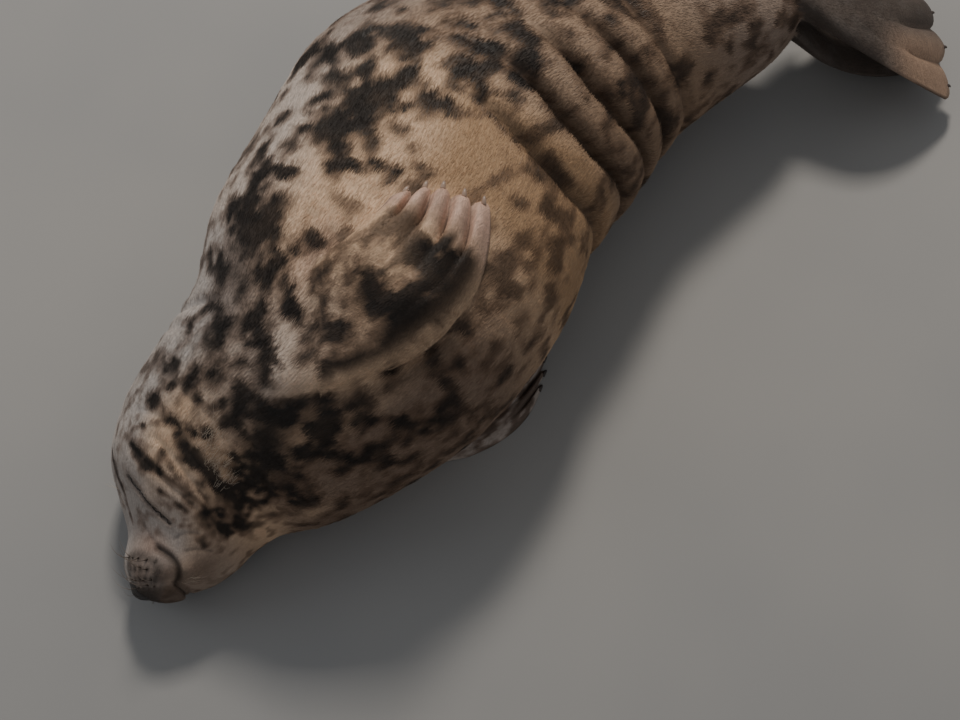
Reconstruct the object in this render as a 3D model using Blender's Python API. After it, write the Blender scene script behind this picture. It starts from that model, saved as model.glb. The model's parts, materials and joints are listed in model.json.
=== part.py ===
"""A young grey seal asleep on its right side, life size, built as closed solids in metres with +Z up.

The left flank faces up, the head lies towards -X, the tail towards +X and the back towards +Y.
The body is one smooth tube drawn through named cross-sections and parted by planes into head, neck,
chest, belly, loin and rump. Jaw, nose and closed eyelids are cut from the head, and the tail, the four
flippers and their claws are shapes of their own. All of it rests on flats at z = 0.
"""

import math

import bmesh
import bpy
import numpy as np
from mathutils import Matrix, Vector
from mathutils.bvhtree import BVHTree

# --- Driving dimensions, in metres -------------------------------------------------------------------

GAP = 0.0004  # between neighbouring pieces
RING_SIDES = 36  # corners in one cross-section of the body
PRESS = 0.0053  # how far the body's weight flattens its underside on the floor
WAIST = 0.46  # height of the widest level of a cross-section, as a share of its height
FINE_STEP = 0.0110  # spacing of cross-sections on the head
PLAIN_STEP = 0.0282  # and on the trunk and rump

# One row for each cross-section, nose to tail: where its plane meets the back and the belly in plan,
# the heights of its top and underside, and how square it is above and below (2 is an ellipse).
SECTIONS = {
    "lips": ((-0.4000, 0.0405), (-0.3540, 0.0035), 0.0750, 0.0150, 2.3, 2.3),
    "muzzle": ((-0.3930, 0.0615), (-0.3395, -0.0035), 0.0825, 0.0090, 2.3, 2.3),
    "snout": ((-0.3730, 0.0860), (-0.3240, -0.0080), 0.0905, 0.0055, 2.2, 2.2),
    "eyes": ((-0.3625, 0.1145), (-0.3035, -0.0075), 0.1065, 0.0010, 2.1, 2.3),
    "crown": ((-0.3465, 0.1515), (-0.2835, -0.0060), 0.1285, 0.0000, 2.1, 2.4),
    "nape": ((-0.3080, 0.1865), (-0.2550, -0.0100), 0.1520, 0.0000, 2.1, 2.5),
    "neck": ((-0.2445, 0.2095), (-0.2130, -0.0330), 0.1955, 0.0000, 2.1, 2.6),
    "shoulders": ((-0.1890, 0.2245), (-0.1450, -0.0510), 0.2340, 0.0000, 2.1, 2.6),
    "chest": ((-0.1340, 0.2730), (-0.0530, -0.0600), 0.2615, 0.0000, 2.1, 2.6),
    "middle": ((-0.0345, 0.3275), (0.0985, -0.0195), 0.2780, 0.0000, 2.1, 2.6),
    "flank": ((0.0615, 0.3730), (0.1740, 0.0280), 0.2800, 0.0000, 2.1, 2.6),
    "loin": ((0.1670, 0.3765), (0.2480, 0.0530), 0.2695, 0.0000, 2.1, 2.6),
    "hips": ((0.3080, 0.3475), (0.3325, 0.0820), 0.2430, 0.0055, 2.1, 2.5),
    "pelvis": ((0.4270, 0.2770), (0.4225, 0.0845), 0.2040, 0.0300, 2.1, 2.4),
    "rump": ((0.5015, 0.2200), (0.4840, 0.0860), 0.1725, 0.0545, 2.1, 2.3),
    "ankles": ((0.5370, 0.1850), (0.5190, 0.0935), 0.1550, 0.0685, 2.2, 2.2),
}
# The pieces of the tube, each from one named cross-section to another.
PIECES = {
    "head": ("lips", "nape"),
    "neck": ("nape", "shoulders"),
    "chest": ("shoulders", "middle"),
    "belly": ("middle", "flank"),
    "loin": ("flank", "hips"),
    "rump": ("hips", "ankles"),
}

MUZZLE_DOME = 0.0119  # how far the front of the muzzle bulges past the lips
MUZZLE_NARROW = 0.22  # how much narrower the top of the muzzle is than its lips
PAD_SWELL = 0.0043  # how far the whisker pads stand out
PAD_AHEAD = 0.0035  # how far their middle is in front of the muzzle's cross-section
PAD_LENGTH = 0.0150  # half the length of a pad
JAW_REACH = (-0.05, 0.25)  # heights between which the jaw's outline is cut through the head
LID_SIZES = (0.0185, 0.0120, 0.0070)  # half sizes of a closed eye: along the slit, across it, outwards
LID_SINK = 0.0045  # how deep the middle of a closed eye lies under the head's skin

# Folds of loose skin that ring the loin: distances of the creases past the flank, and their depths.
CREASES = {0.002: 0.008, 0.063: 0.016, 0.118: 0.015, 0.166: 0.012, 0.220: 0.005}
CREASE_HALF = 0.0123  # half the width of a crease along the body
SKIN_LEAN = 0.060  # how far the skin is drawn towards the head at the back of the loin
ROLL_SWELL = 0.0044  # how far the rolls between the creases stand out at the belly

CLEAR = 0.0012  # between the body's skin and a flipper that is draped along it
THINNEST = 0.0016  # thickness of a flipper's web at its rim
CLAW_LENGTH = 0.014
CLAW_ROOT = 0.004  # how deep a claw is set into its digit
CLAW_RADIUS = 0.0015
FLIPPER_ROWS = 8  # steps from a flipper's root to its tips
DIGIT_COLUMNS = 4  # and steps across each of its digits
EDGE_THIN = 0.82  # how much thinner a flipper is at its two edges than along its middle
TIP_THIN = 0.45  # and how much its last part thins towards the tips
TIP_START = 0.85  # where that last part begins, as a share of the flipper's length
RIDGE_RISE = 0.5  # how much thicker a digit is than the web beside it
TAIL_RINGS = (  # share of the tail's length, half width, half height
    (0.0, 0.0165, 0.0090),
    (0.3, 0.0160, 0.0090),
    (0.6, 0.0130, 0.0075),
    (0.85, 0.0090, 0.0055),
    (1.0, 0.0035, 0.0020),
)

HIDE = (0.55, 0.47, 0.36, 0.62, 0.0)
DARK_HIDE = (0.26, 0.23, 0.20, 0.62, 0.0)
PALE_HIDE = (0.62, 0.52, 0.42, 0.60, 0.0)
NOSE_SKIN = (0.045, 0.038, 0.035, 0.42, 0.0)
HORN = (0.05, 0.038, 0.03, 0.38, 0.0)
BODY_LOOKS = {
    "head": HIDE,
    "neck": DARK_HIDE,
    "chest": HIDE,
    "belly": PALE_HIDE,
    "loin": HIDE,
    "rump": PALE_HIDE,
}


# --- The scene, materials and meshes -----------------------------------------------------------------


def clear_scene():
    for item in list(bpy.data.objects):
        bpy.data.objects.remove(item, do_unlink=True)


def material(name, look):
    """A Principled material from (red, green, blue, roughness, metallic)."""
    made = bpy.data.materials.new(name)
    made.use_nodes = True
    shader = made.node_tree.nodes["Principled BSDF"]
    shader.inputs["Base Color"].default_value = (*look[:3], 1.0)
    shader.inputs["Roughness"].default_value = look[3]
    shader.inputs["Metallic"].default_value = look[4]
    made.diffuse_color = (*look[:3], 1.0)
    return made


def solid(name, points, faces, look):
    """A closed mesh object whose faces all point outwards."""
    mesh = bpy.data.meshes.new(name)
    mesh.from_pydata([tuple(point) for point in points], [], faces)
    tidy = bmesh.new()
    tidy.from_mesh(mesh)
    bmesh.ops.recalc_face_normals(tidy, faces=tidy.faces)
    tidy.to_mesh(mesh)
    tidy.free()
    mesh.shade_smooth()
    made = bpy.data.objects.new(name, mesh)
    made.data.materials.append(material(name, look))
    bpy.context.collection.objects.link(made)
    return made


def helper(made):
    """A cutter or guide: kept in the scene, but not a piece of the seal."""
    made.hide_render = True
    made.display_type = "WIRE"
    return made


def cut(target, cutter, operation="DIFFERENCE"):
    step = target.modifiers.new(f"{operation.lower()} {cutter.name}", "BOOLEAN")
    step.operation = operation
    step.solver = "EXACT"
    step.object = cutter


# --- The body as a smooth tube -----------------------------------------------------------------------


def station_rows():
    """The numbers of each cross-section, and its distance along the body from the nose."""
    rows = np.array([(*back, *belly, *rest) for back, belly, *rest in SECTIONS.values()])
    centres = (rows[:, 0:2] + rows[:, 2:4]) / 2
    steps = np.linalg.norm(np.diff(centres, axis=0), axis=1)
    return rows, np.concatenate([[0.0], np.cumsum(steps)])


ROWS, ALONG = station_rows()
STATION = dict(zip(SECTIONS, ALONG))


def slopes():
    """Tangents of a smooth curve through the rows, weighted for their uneven spacing."""
    gaps = np.diff(ALONG)[:, None]
    rises = np.diff(ROWS, axis=0) / gaps
    inner = (rises[:-1] * gaps[1:] + rises[1:] * gaps[:-1]) / (gaps[:-1] + gaps[1:])
    return np.vstack([rises[:1], inner, rises[-1:]])


SLOPES = slopes()


def section_at(along):
    """The cross-section numbers at a distance along the body."""
    index = int(np.clip(np.searchsorted(ALONG, along) - 1, 0, len(ALONG) - 2))
    gap = ALONG[index + 1] - ALONG[index]
    t = (along - ALONG[index]) / gap
    return (
        (2 * t**3 - 3 * t**2 + 1) * ROWS[index]
        + (t**3 - 2 * t**2 + t) * gap * SLOPES[index]
        + (3 * t**2 - 2 * t**3) * ROWS[index + 1]
        + (t**3 - t**2) * gap * SLOPES[index + 1]
    )


def superellipse(value, power):
    return math.copysign(abs(value) ** (2 / power), value)


def smooth_step(low, high, value):
    t = min(1.0, max(0.0, (value - low) / (high - low)))
    return t * t * (3 - 2 * t)


def lean_at(along):
    """How far the rings lean towards the head at the back: in full on the loin, not at all past it."""
    rise = smooth_step(STATION["shoulders"], STATION["flank"], along)
    fall = smooth_step(STATION["hips"], STATION["ankles"], along)
    return SKIN_LEAN * rise * (1 - fall)


def fold_push(along, ventral):
    """How far the loose skin stands out (or sinks), where ventral is 1 at the belly and 0 at the back."""
    past = along - STATION["flank"]
    sink = 0.0
    for place, depth in CREASES.items():
        sink += depth * max(0.0, 1 - abs(past - place) / CREASE_HALF)
    first, last = min(CREASES), max(CREASES)
    middle = (past - (first + last) / 2) / ((last - first) / 2 + CREASE_HALF)
    swell = ROLL_SWELL * max(0.0, 1 - middle**4)
    fade = smooth_step(0.05, 0.75, ventral)
    return fade * (swell - sink)


def pad_push(along, across, upward):
    """The whisker pads: one on each side of the muzzle, a little nearer its lips than its top."""
    away = (along - STATION["muzzle"] + PAD_AHEAD) / PAD_LENGTH
    side = max(0.0, abs(upward) - 0.2) * max(0.0, 1 - abs(across + 0.15))
    return PAD_SWELL * math.exp(-away * away) * side


def ring(along, shift=0.0):
    """Points round one cross-section, moved by shift along the body."""
    points = []
    for corner in range(RING_SIDES):
        angle = 2 * math.pi * corner / RING_SIDES
        across, upward = math.cos(angle), math.sin(angle)
        ventral = (1 - across) / 2
        local = along - lean_at(along) * (1 - ventral)
        back_x, back_y, belly_x, belly_y, top, bottom, square_up, square_down = section_at(local)
        back = Vector((back_x, back_y, 0.0))
        belly = Vector((belly_x, belly_y, 0.0))
        dorsal = (back - belly).normalized()
        tailward = Vector((dorsal.y, -dorsal.x, 0.0))
        half = (back - belly).length / 2
        lowest = bottom - PRESS * (1 - smooth_step(0.0, PRESS, bottom))
        waist = lowest + WAIST * (top - lowest)
        power = square_up if upward > 0 else square_down
        rise = (top - waist) if upward > 0 else (waist - lowest)
        narrow = MUZZLE_NARROW * (1 - smooth_step(STATION["muzzle"], STATION["crown"], along))
        rise *= 1 - narrow * across
        flat = superellipse(across, power) * half
        high = superellipse(upward, power) * rise
        outward = Vector((dorsal.x * across, dorsal.y * across, upward))
        push = fold_push(along, ventral) + pad_push(along, across, upward)
        point = (back + belly) / 2 + dorsal * flat + tailward * shift + outward * push
        point.z = max(0.0, point.z + waist + high)
        points.append(point)
    return points


def places_between(start, end):
    """Distances along the body from start to end: close together on the head, and at every fold."""
    step = FINE_STEP if start < STATION["nape"] else PLAIN_STEP
    count = max(1, round((end - start) / step))
    places = {start + (end - start) * index / count for index in range(count + 1)}
    creases = [STATION["flank"] + place for place in CREASES]
    named = set()
    for crease in creases:
        named |= {crease - CREASE_HALF, crease, crease + CREASE_HALF}
    for before, after in zip(creases, creases[1:]):
        named.add((before + after) / 2)
    named = {place for place in named if start + 0.004 < place < end - 0.004}
    crowded = {place for place in places - {start, end} if any(abs(place - n) < 0.012 for n in named)}
    return sorted((places - crowded) | named)


def tube(name, rings, look):
    """A closed tube through rings of equal size, with a fan over each end."""
    points = [point for row in rings for point in row]
    size = len(rings[0])
    faces = []
    for row in range(len(rings) - 1):
        for corner in range(size):
            following = (corner + 1) % size
            low, high = row * size, (row + 1) * size
            faces.append((low + corner, low + following, high + following, high + corner))
    for row in (0, len(rings) - 1):
        hub = len(points)
        points.append(sum(rings[row], Vector()) / size)
        low = row * size
        for corner in range(size):
            faces.append((hub, low + corner, low + (corner + 1) % size))
    return solid(name, points, faces, look)


def muzzle_front():
    """Rings that round off the front of the muzzle, smallest first."""
    lips = ring(STATION["lips"])
    centre = sum(lips, Vector()) / len(lips)
    back_x, back_y, belly_x, belly_y = section_at(STATION["lips"])[:4]
    forward = Vector((belly_y - back_y, back_x - belly_x, 0.0)).normalized()
    rings = []
    for share in (0.96, 0.80, 0.45):  # of the way from the lips to the very front
        size = (1 - share**3) ** (1 / 2.2)
        rings.append([centre + (point - centre) * size + forward * MUZZLE_DOME * share for point in lips])
    return rings


def body_piece(name, look):
    start, end = (STATION[station] for station in PIECES[name])
    rings = []
    places = places_between(start, end)
    for index, along in enumerate(places):
        at_start = index == 0 and name != "head"
        at_end = index == len(places) - 1
        rings.append(ring(along, GAP / 2 * at_start - GAP / 2 * at_end))
    if name == "head":
        rings = muzzle_front() + rings
    return tube(name, rings, look)


def body_guide():
    """The whole tube as one closed shape, for draping the flippers on it."""
    rings = muzzle_front() + [ring(along) for along in places_between(STATION["lips"], STATION["ankles"])]
    return helper(tube("guide_body", rings, HIDE))


# --- Head: jaw, nose and eyelids ---------------------------------------------------------------------


def ellipsoid(name, place, axes, sizes, look, grow=0.0):
    """An ellipsoid at a place, its three half sizes measured along three unit axes."""
    made = bmesh.new()
    bmesh.ops.create_uvsphere(made, u_segments=12, v_segments=8, radius=1.0)
    frame = Matrix([axis * (size + grow) for axis, size in zip(axes, sizes)]).transposed()
    points = [frame @ corner.co + place for corner in made.verts]
    faces = [[corner.index for corner in face.verts] for face in made.faces]
    made.free()
    return solid(name, points, faces, look)


def prism(name, outline, low, high, look):
    """A flat outline in plan, drawn up from low to high."""
    count = len(outline)
    points = [(x, y, low) for x, y in outline] + [(x, y, high) for x, y in outline]
    faces = [tuple(range(count)), tuple(range(count, 2 * count))]
    faces += [(i, (i + 1) % count, count + (i + 1) % count, count + i) for i in range(count)]
    return solid(name, points, faces, look)


def section_point(station, ventral, left=True):
    """A point on the skin: ventral is 0 at the back and 1 at the belly; left is the side that faces up."""
    back_x, back_y, belly_x, belly_y, top, bottom, square_up, square_down = section_at(station)
    waist = bottom + WAIST * (top - bottom)
    across = 1 - 2 * ventral
    power = square_up if left else square_down
    rise = (top - waist) if left else (bottom - waist)
    high = rise * max(0.0, 1 - abs(across) ** power) ** (1 / power)
    x = back_x + (belly_x - back_x) * ventral
    y = back_y + (belly_y - back_y) * ventral
    return Vector((x, y, waist + high))


MOUTH = [  # the lip line in plan, from in front of the lips back to the corner, then down behind the chin
    (-0.3790, -0.0150),
    (-0.3665, -0.0020),
    (-0.3605, 0.0052),
    (-0.3545, 0.0130),
    (-0.3505, 0.0260),
    (-0.3520, 0.0400),
    (-0.3330, 0.0300),
    (-0.3130, 0.0150),
    (-0.2990, -0.0045),
    (-0.2940, -0.0350),
    (-0.3790, -0.0350),
]


def shrunk(outline, amount):
    """The outline moved inwards by an amount."""
    moved = []
    for index, corner in enumerate(outline):
        before = Vector(outline[index - 1])
        after = Vector(outline[(index + 1) % len(outline)])
        here = Vector(corner)
        one = (here - before).normalized()
        two = (after - here).normalized()
        inward = (Vector((one.y, -one.x)) + Vector((two.y, -two.x))).normalized()
        moved.append(tuple(here + inward * amount))
    return moved


def lower_jaw(head):
    """The jaw is what the lip line parts from a second copy of the head."""
    jaw = body_piece("head", HIDE)
    jaw.name = "lower_jaw"
    cut(jaw, helper(prism("cutter_jaw_keep", shrunk(MOUTH, GAP), *JAW_REACH, HIDE)), "INTERSECT")
    cut(head, helper(prism("cutter_jaw_clear", MOUTH, *JAW_REACH, HIDE)))


def nose(head):
    """The bare nose pad at the top of the muzzle's front."""
    front = Vector((-0.3990, 0.0305, 0.0450))
    axes = (Vector((0.80, -0.60, 0.0)), Vector((0.60, 0.80, 0.0)), Vector((0.0, 0.0, 1.0)))
    sizes = (0.0120, 0.0130, 0.0145)
    pad = body_piece("head", NOSE_SKIN)
    pad.name = "nose"
    keep = helper(ellipsoid("cutter_nose_keep", front, axes, sizes, HIDE, -GAP))
    clear = helper(ellipsoid("cutter_nose_clear", front, axes, sizes, HIDE))
    cut(pad, keep, "INTERSECT")
    cut(head, clear)


def eyelids(head):
    """Closed lids over each eye, set into the head."""
    for side, left in (("left", True), ("right", False)):
        place = section_point(STATION["eyes"] + 0.0105, 0.33, left)
        sign = 1 if left else -1
        outward = Vector((-0.22, 0.30, sign * 1.0)).normalized()
        slit = Vector((0.05, -0.95, sign * 0.20))
        slit = (slit - outward * slit.dot(outward)).normalized()
        across = outward.cross(slit)
        axes = (slit, across, outward)
        centre = place - outward * LID_SINK
        if not left:
            centre.z = max(centre.z, LID_SIZES[2] + 0.002)  # clear of the floor
        ellipsoid(f"eye_{side}", centre, axes, LID_SIZES, PALE_HIDE)
        cut(head, helper(ellipsoid(f"cutter_eye_{side}", centre, axes, LID_SIZES, HIDE, GAP)))


# --- Flippers and claws ------------------------------------------------------------------------------


def through(first, middle, last, t):
    """A smooth curve through three points or numbers, with the middle one half-way."""
    return first * (1 - t) * (1 - 2 * t) + middle * 4 * t * (1 - t) + last * t * (2 * t - 1)


def along_tips(tips, share):
    """A point on the line through the digit tips, by its share of the way across."""
    spot = share * (len(tips) - 1)
    index = min(int(spot), len(tips) - 2)
    return tips[index].lerp(tips[index + 1], spot - index)


def flipper(name, root, knuckles, tips, thick, notch, look, base=None, limit=None, merge=1.0):
    """A webbed flipper with a ridge for each digit, and a notch between their tips.

    root and knuckles are pairs of points (leading edge, trailing edge), and tips holds one point for each
    digit, leading edge first. thick is the thickness at the root, the knuckles and the tips, and merge the
    share of it left at the root's end. base gives the height of the underside over a place in plan, and
    limit the highest that the top may reach there. Returns the flipper, and each digit's tip and heading.
    """
    root, knuckles, tips = ([Vector(point) for point in line] for line in (root, knuckles, tips))
    digits = len(tips)
    columns = DIGIT_COLUMNS * digits
    side = (tips[-1] - tips[0]).normalized()
    pitch = (tips[-1] - tips[0]).length / (digits - 1)

    def spot_at(v, w):
        """A point of the flipper's middle layer: v runs from root to tip, w across the digits."""
        digit = w * digits - 0.5
        inside = min(digits - 1, max(0.0, digit))
        last = along_tips(tips, inside / (digits - 1)) + side * (digit - inside) * pitch
        middle = knuckles[0].lerp(knuckles[1], w)
        last = last + (middle - last).normalized() * notch * (1 - digit_ridge(w, digits))
        return through(root[0].lerp(root[1], w), middle, last, v)

    top, under = [], []
    for row in range(FLIPPER_ROWS + 1):
        v = row / FLIPPER_ROWS
        body = through(*thick, v)
        past = max(0.0, (v - TIP_START) / (1 - TIP_START))
        round_end = 1 - TIP_THIN + TIP_THIN * math.sqrt(1 - past**2)
        round_end *= merge + (1 - merge) * min(1.0, v * 3)
        for column in range(columns + 1):
            w = column / columns
            spot = spot_at(v, w)
            edge = 1 - EDGE_THIN * abs(2 * w - 1) ** 5
            ridge = 1 + RIDGE_RISE * (digit_ridge(w, digits) - 0.6) * min(1.0, v * 1.6)
            depth = max(THINNEST, body * edge * ridge * round_end)
            low = spot.z - depth / 2 if base is None else base(spot.x, spot.y)
            high = low + depth
            if limit is not None:
                high = min(high, limit(spot.x, spot.y))
                low = min(low, high - THINNEST)
            top.append(Vector((spot.x, spot.y, high)))
            under.append(Vector((spot.x, spot.y, max(0.0, low))))
    made = solid(name, top + under, sheet_faces(FLIPPER_ROWS, columns), look)
    ends = []
    for digit in range(digits):
        column = DIGIT_COLUMNS * digit + DIGIT_COLUMNS // 2
        last = FLIPPER_ROWS * (columns + 1) + column
        end = (top[last] + under[last]) / 2
        before = (top[last - columns - 1] + under[last - columns - 1]) / 2
        ends.append((end, (end - before).normalized()))
    return made, ends


def digit_ridge(w, digits):
    """1 along the middle of each digit and 0 between two of them."""
    return abs(math.sin(math.pi * w * digits)) ** 0.7


def sheet_faces(rows, columns):
    """The faces of a closed sheet: a grid of points above, the same grid below, and the rim between."""
    width = columns + 1
    count = (rows + 1) * width
    faces = []
    for row in range(rows):
        for column in range(columns):
            corner = row * width + column
            quad = (corner, corner + 1, corner + width + 1, corner + width)
            faces.append(quad)
            faces.append(tuple(count + index for index in reversed(quad)))
    rim = list(range(width))
    rim += [row * width + columns for row in range(1, rows + 1)]
    rim += [rows * width + column for column in range(columns - 1, -1, -1)]
    rim += [row * width for row in range(rows - 1, 0, -1)]
    for here, following in zip(rim, rim[1:] + rim[:1]):
        faces.append((here, here + count, following + count, following))
    return faces


def claw(name, place, heading, length, radius, look):
    """A slightly curved horn cone that starts at a place and points along a heading."""
    side = heading.cross(Vector((0.0, 0.0, 1.0))).normalized()
    up = side.cross(heading)
    sides = 6
    points = []
    for share in (0.0, 0.5):
        centre = place + heading * length * share + up * radius * 0.5 * share
        girth = radius * (1 - 0.45 * share)
        for corner in range(sides):
            angle = 2 * math.pi * corner / sides
            points.append(centre + side * girth * math.cos(angle) + up * girth * math.sin(angle))
    points.append(place + heading * length - up * radius * 0.5)
    points.append(place)
    faces = []
    for corner in range(sides):
        following = (corner + 1) % sides
        faces.append((corner, following, sides + following, sides + corner))
        faces.append((sides + corner, sides + following, 2 * sides))
        faces.append((corner, following, 2 * sides + 1))
    return solid(name, points, faces, look)


def claws(limb, flipper_made, ends, lift):
    """One claw for each digit, set into its tip, with its heading turned up by lift."""
    for number, (end, heading) in enumerate(ends, start=1):
        raised = (heading + Vector((0.0, 0.0, lift))).normalized()
        root = end - raised * CLAW_ROOT
        root.z = max(root.z, CLAW_RADIUS + GAP)
        claw(f"claw_{limb}_{number}", root, raised, CLAW_LENGTH, CLAW_RADIUS, HORN)
        pocket = claw(
            f"cutter_claw_{limb}_{number}",
            root - raised * GAP,
            raised,
            CLAW_LENGTH + 6 * GAP,
            CLAW_RADIUS + GAP,
            HORN,
        )
        cut(flipper_made, helper(pocket))


def fore_flippers(guide):
    """The left one lies along the flank, and the right one on the floor, half under the chest."""
    tree = BVHTree.FromPolygons(
        [corner.co.copy() for corner in guide.data.vertices],
        [tuple(face.vertices) for face in guide.data.polygons],
    )

    def flank_height(x, y):
        hit = tree.ray_cast(Vector((x, y, 1.0)), Vector((0.0, 0.0, -1.0)))[0]
        return hit.z + CLEAR

    def underside_height(x, y):
        hit = tree.ray_cast(Vector((x, y, -0.05)), Vector((0.0, 0.0, 1.0)))[0]
        return (hit.z if hit else 1.0) - CLEAR

    made, ends = flipper(
        "fore_flipper_left",
        root=((-0.1635, 0.0265, 0), (-0.1020, 0.1145, 0)),
        knuckles=((-0.0335, 0.0000, 0), (-0.0510, 0.1125, 0)),
        tips=(
            (0.0580, 0.0685, 0),
            (0.0465, 0.0825, 0),
            (0.0350, 0.0985, 0),
            (0.0220, 0.1075, 0),
            (0.0055, 0.1145, 0),
        ),
        thick=(0.0175, 0.0265, 0.0125),
        notch=0.0090,
        look=PALE_HIDE,
        base=flank_height,
        merge=0.3,
    )
    claws("fore_left", made, ends, 0.30)
    made, ends = flipper(
        "fore_flipper_right",
        root=((-0.0825, -0.0315, 0), (-0.0530, 0.0000, 0)),
        knuckles=((-0.0090, -0.0510, 0), (0.0175, 0.0000, 0)),
        tips=(
            (0.0580, -0.0300, 0),
            (0.0720, -0.0195, 0),
            (0.0825, -0.0070, 0),
            (0.0860, 0.0045, 0),
            (0.0845, 0.0160, 0),
        ),
        thick=(0.0105, 0.0140, 0.0090),
        notch=0.0070,
        look=DARK_HIDE,
        base=lambda x, y: 0.0,
        limit=underside_height,
    )
    claws("fore_right", made, ends, 0.10)


def hind_flippers():
    """The left one arches over and down to its tips, and the right one slopes to the floor beneath it."""
    made, ends = flipper(
        "hind_flipper_left",
        root=((0.5225, 0.0970, 0.1320), (0.5395, 0.1635, 0.1320)),
        knuckles=((0.5630, 0.0105, 0.1040), (0.6300, 0.1230, 0.1160)),
        tips=(
            (0.6570, -0.0360, 0.0290),
            (0.6840, 0.0010, 0.0400),
            (0.6980, 0.0400, 0.0520),
            (0.7120, 0.0800, 0.0640),
            (0.7290, 0.1240, 0.0710),
        ),
        thick=(0.0405, 0.0245, 0.0095),
        notch=0.0160,
        look=PALE_HIDE,
    )
    claws("hind_left", made, ends, 0.15)
    made, ends = flipper(
        "hind_flipper_right",
        root=((0.5245, 0.1020, 0.0880), (0.5410, 0.1670, 0.0915)),
        knuckles=((0.5825, 0.0405, 0.0315), (0.6370, 0.1410, 0.0440)),
        tips=(
            (0.6995, 0.0130, 0.0060),
            (0.7095, 0.0510, 0.0060),
            (0.7110, 0.0915, 0.0060),
            (0.7180, 0.1340, 0.0060),
            (0.7305, 0.1760, 0.0070),
        ),
        thick=(0.0370, 0.0230, 0.0090),
        notch=0.0160,
        look=DARK_HIDE,
    )
    claws("hind_right", made, ends, 0.15)


def tail():
    """The short flat tail between the hind flippers, nearer the back."""
    root = Vector((0.5390, 0.1725, 0.1120))
    tip = Vector((0.6070, 0.1795, 0.1040))
    along = (tip - root).normalized()
    side = along.cross(Vector((0.0, 0.0, 1.0))).normalized()
    up = side.cross(along)
    rings = []
    for share, wide, high in TAIL_RINGS:
        centre = root.lerp(tip, share)
        angles = [2 * math.pi * corner / 12 for corner in range(12)]
        rings.append([centre + side * wide * math.cos(a) + up * high * math.sin(a) for a in angles])
    tube("tail", rings, DARK_HIDE)


def centre_in_plan():
    """Hangs every object on one empty, and moves it so that the plan's centre is at x = y = 0."""
    bpy.context.view_layer.update()
    graph = bpy.context.evaluated_depsgraph_get()
    solids = [item for item in bpy.data.objects if not item.hide_render]
    corners = np.array([corner for item in solids for corner in item.evaluated_get(graph).bound_box])
    middle = (corners.min(axis=0) + corners.max(axis=0)) / 2
    stand = bpy.data.objects.new("seal", None)
    bpy.context.collection.objects.link(stand)
    for item in list(bpy.data.objects):
        if item is not stand:
            item.parent = stand
    stand.location = (-middle[0], -middle[1], 0.0)


def main():
    clear_scene()
    body = {name: body_piece(name, look) for name, look in BODY_LOOKS.items()}
    lower_jaw(body["head"])
    nose(body["head"])
    eyelids(body["head"])
    fore_flippers(body_guide())
    hind_flippers()
    tail()
    centre_in_plan()


main()
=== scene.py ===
# %% [markdown]
# # A young grey seal, asleep on its right side
#
# This lesson builds a museum model of a well-fed grey seal pup in its first spotted coat. It sleeps on
# the floor with its left flank up. The measured solids of the frame give the outline. Here one skin
# takes their place, short fur is laid over it, and the nose, claws, whiskers and lids are finished.

# %% Load the frame
import itertools
import json
import math

import bpy
import numpy as np
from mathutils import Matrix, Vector
from mathutils.bvhtree import BVHTree
from mathutils.kdtree import KDTree

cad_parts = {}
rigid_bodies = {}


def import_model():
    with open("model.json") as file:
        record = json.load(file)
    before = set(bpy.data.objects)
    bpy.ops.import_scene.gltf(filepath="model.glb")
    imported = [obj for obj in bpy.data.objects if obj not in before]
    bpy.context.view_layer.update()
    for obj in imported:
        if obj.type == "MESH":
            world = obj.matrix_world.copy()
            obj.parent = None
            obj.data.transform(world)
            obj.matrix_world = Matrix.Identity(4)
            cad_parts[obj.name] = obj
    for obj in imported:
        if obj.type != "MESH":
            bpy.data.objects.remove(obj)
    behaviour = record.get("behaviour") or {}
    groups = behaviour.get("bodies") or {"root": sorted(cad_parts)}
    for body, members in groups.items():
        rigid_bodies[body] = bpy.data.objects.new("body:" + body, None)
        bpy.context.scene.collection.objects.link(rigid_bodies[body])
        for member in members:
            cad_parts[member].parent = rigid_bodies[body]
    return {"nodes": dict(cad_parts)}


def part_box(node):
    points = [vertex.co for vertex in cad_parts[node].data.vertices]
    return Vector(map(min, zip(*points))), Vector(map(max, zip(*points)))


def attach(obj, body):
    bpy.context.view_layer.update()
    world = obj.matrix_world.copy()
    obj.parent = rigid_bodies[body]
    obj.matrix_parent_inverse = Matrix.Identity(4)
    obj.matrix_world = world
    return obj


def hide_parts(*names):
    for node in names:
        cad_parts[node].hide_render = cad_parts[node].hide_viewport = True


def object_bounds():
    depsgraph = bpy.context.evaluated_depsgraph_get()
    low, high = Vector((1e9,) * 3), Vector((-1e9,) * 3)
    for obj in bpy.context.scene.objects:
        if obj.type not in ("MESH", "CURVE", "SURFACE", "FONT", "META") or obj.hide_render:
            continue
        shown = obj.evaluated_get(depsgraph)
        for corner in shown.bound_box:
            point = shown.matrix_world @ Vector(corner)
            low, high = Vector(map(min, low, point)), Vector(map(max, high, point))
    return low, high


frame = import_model()
CAD_BOX = [list(corner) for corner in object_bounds()]
print("nodes:", len(frame["nodes"]), "box:", [[round(v, 4) for v in corner] for corner in CAD_BOX])

# %% [markdown]
# ## The camera
#
# The viewer stands over the seal and looks down along it. Camera and lamps are set by a heading in
# plan, a height angle and a distance, because those are easy to read and to change.


# %% Camera
def into_scene(name, data):
    made = bpy.data.objects.new(name, data)
    bpy.context.scene.collection.objects.link(made)
    return made


def aim(made, target, heading, height, distance):
    """Puts a camera or lamp off in a direction from the target, and turns it to face back."""
    way = Vector(heading) * math.cos(math.radians(height)) + Vector((0, 0, math.sin(math.radians(height))))
    made.location = target + way * distance
    made.rotation_euler = (-way).to_track_quat("-Z", "Y").to_euler()


LOOK_AT, TURN = Vector((-0.168, -0.159, 0.1056)), math.radians(-38)

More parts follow.
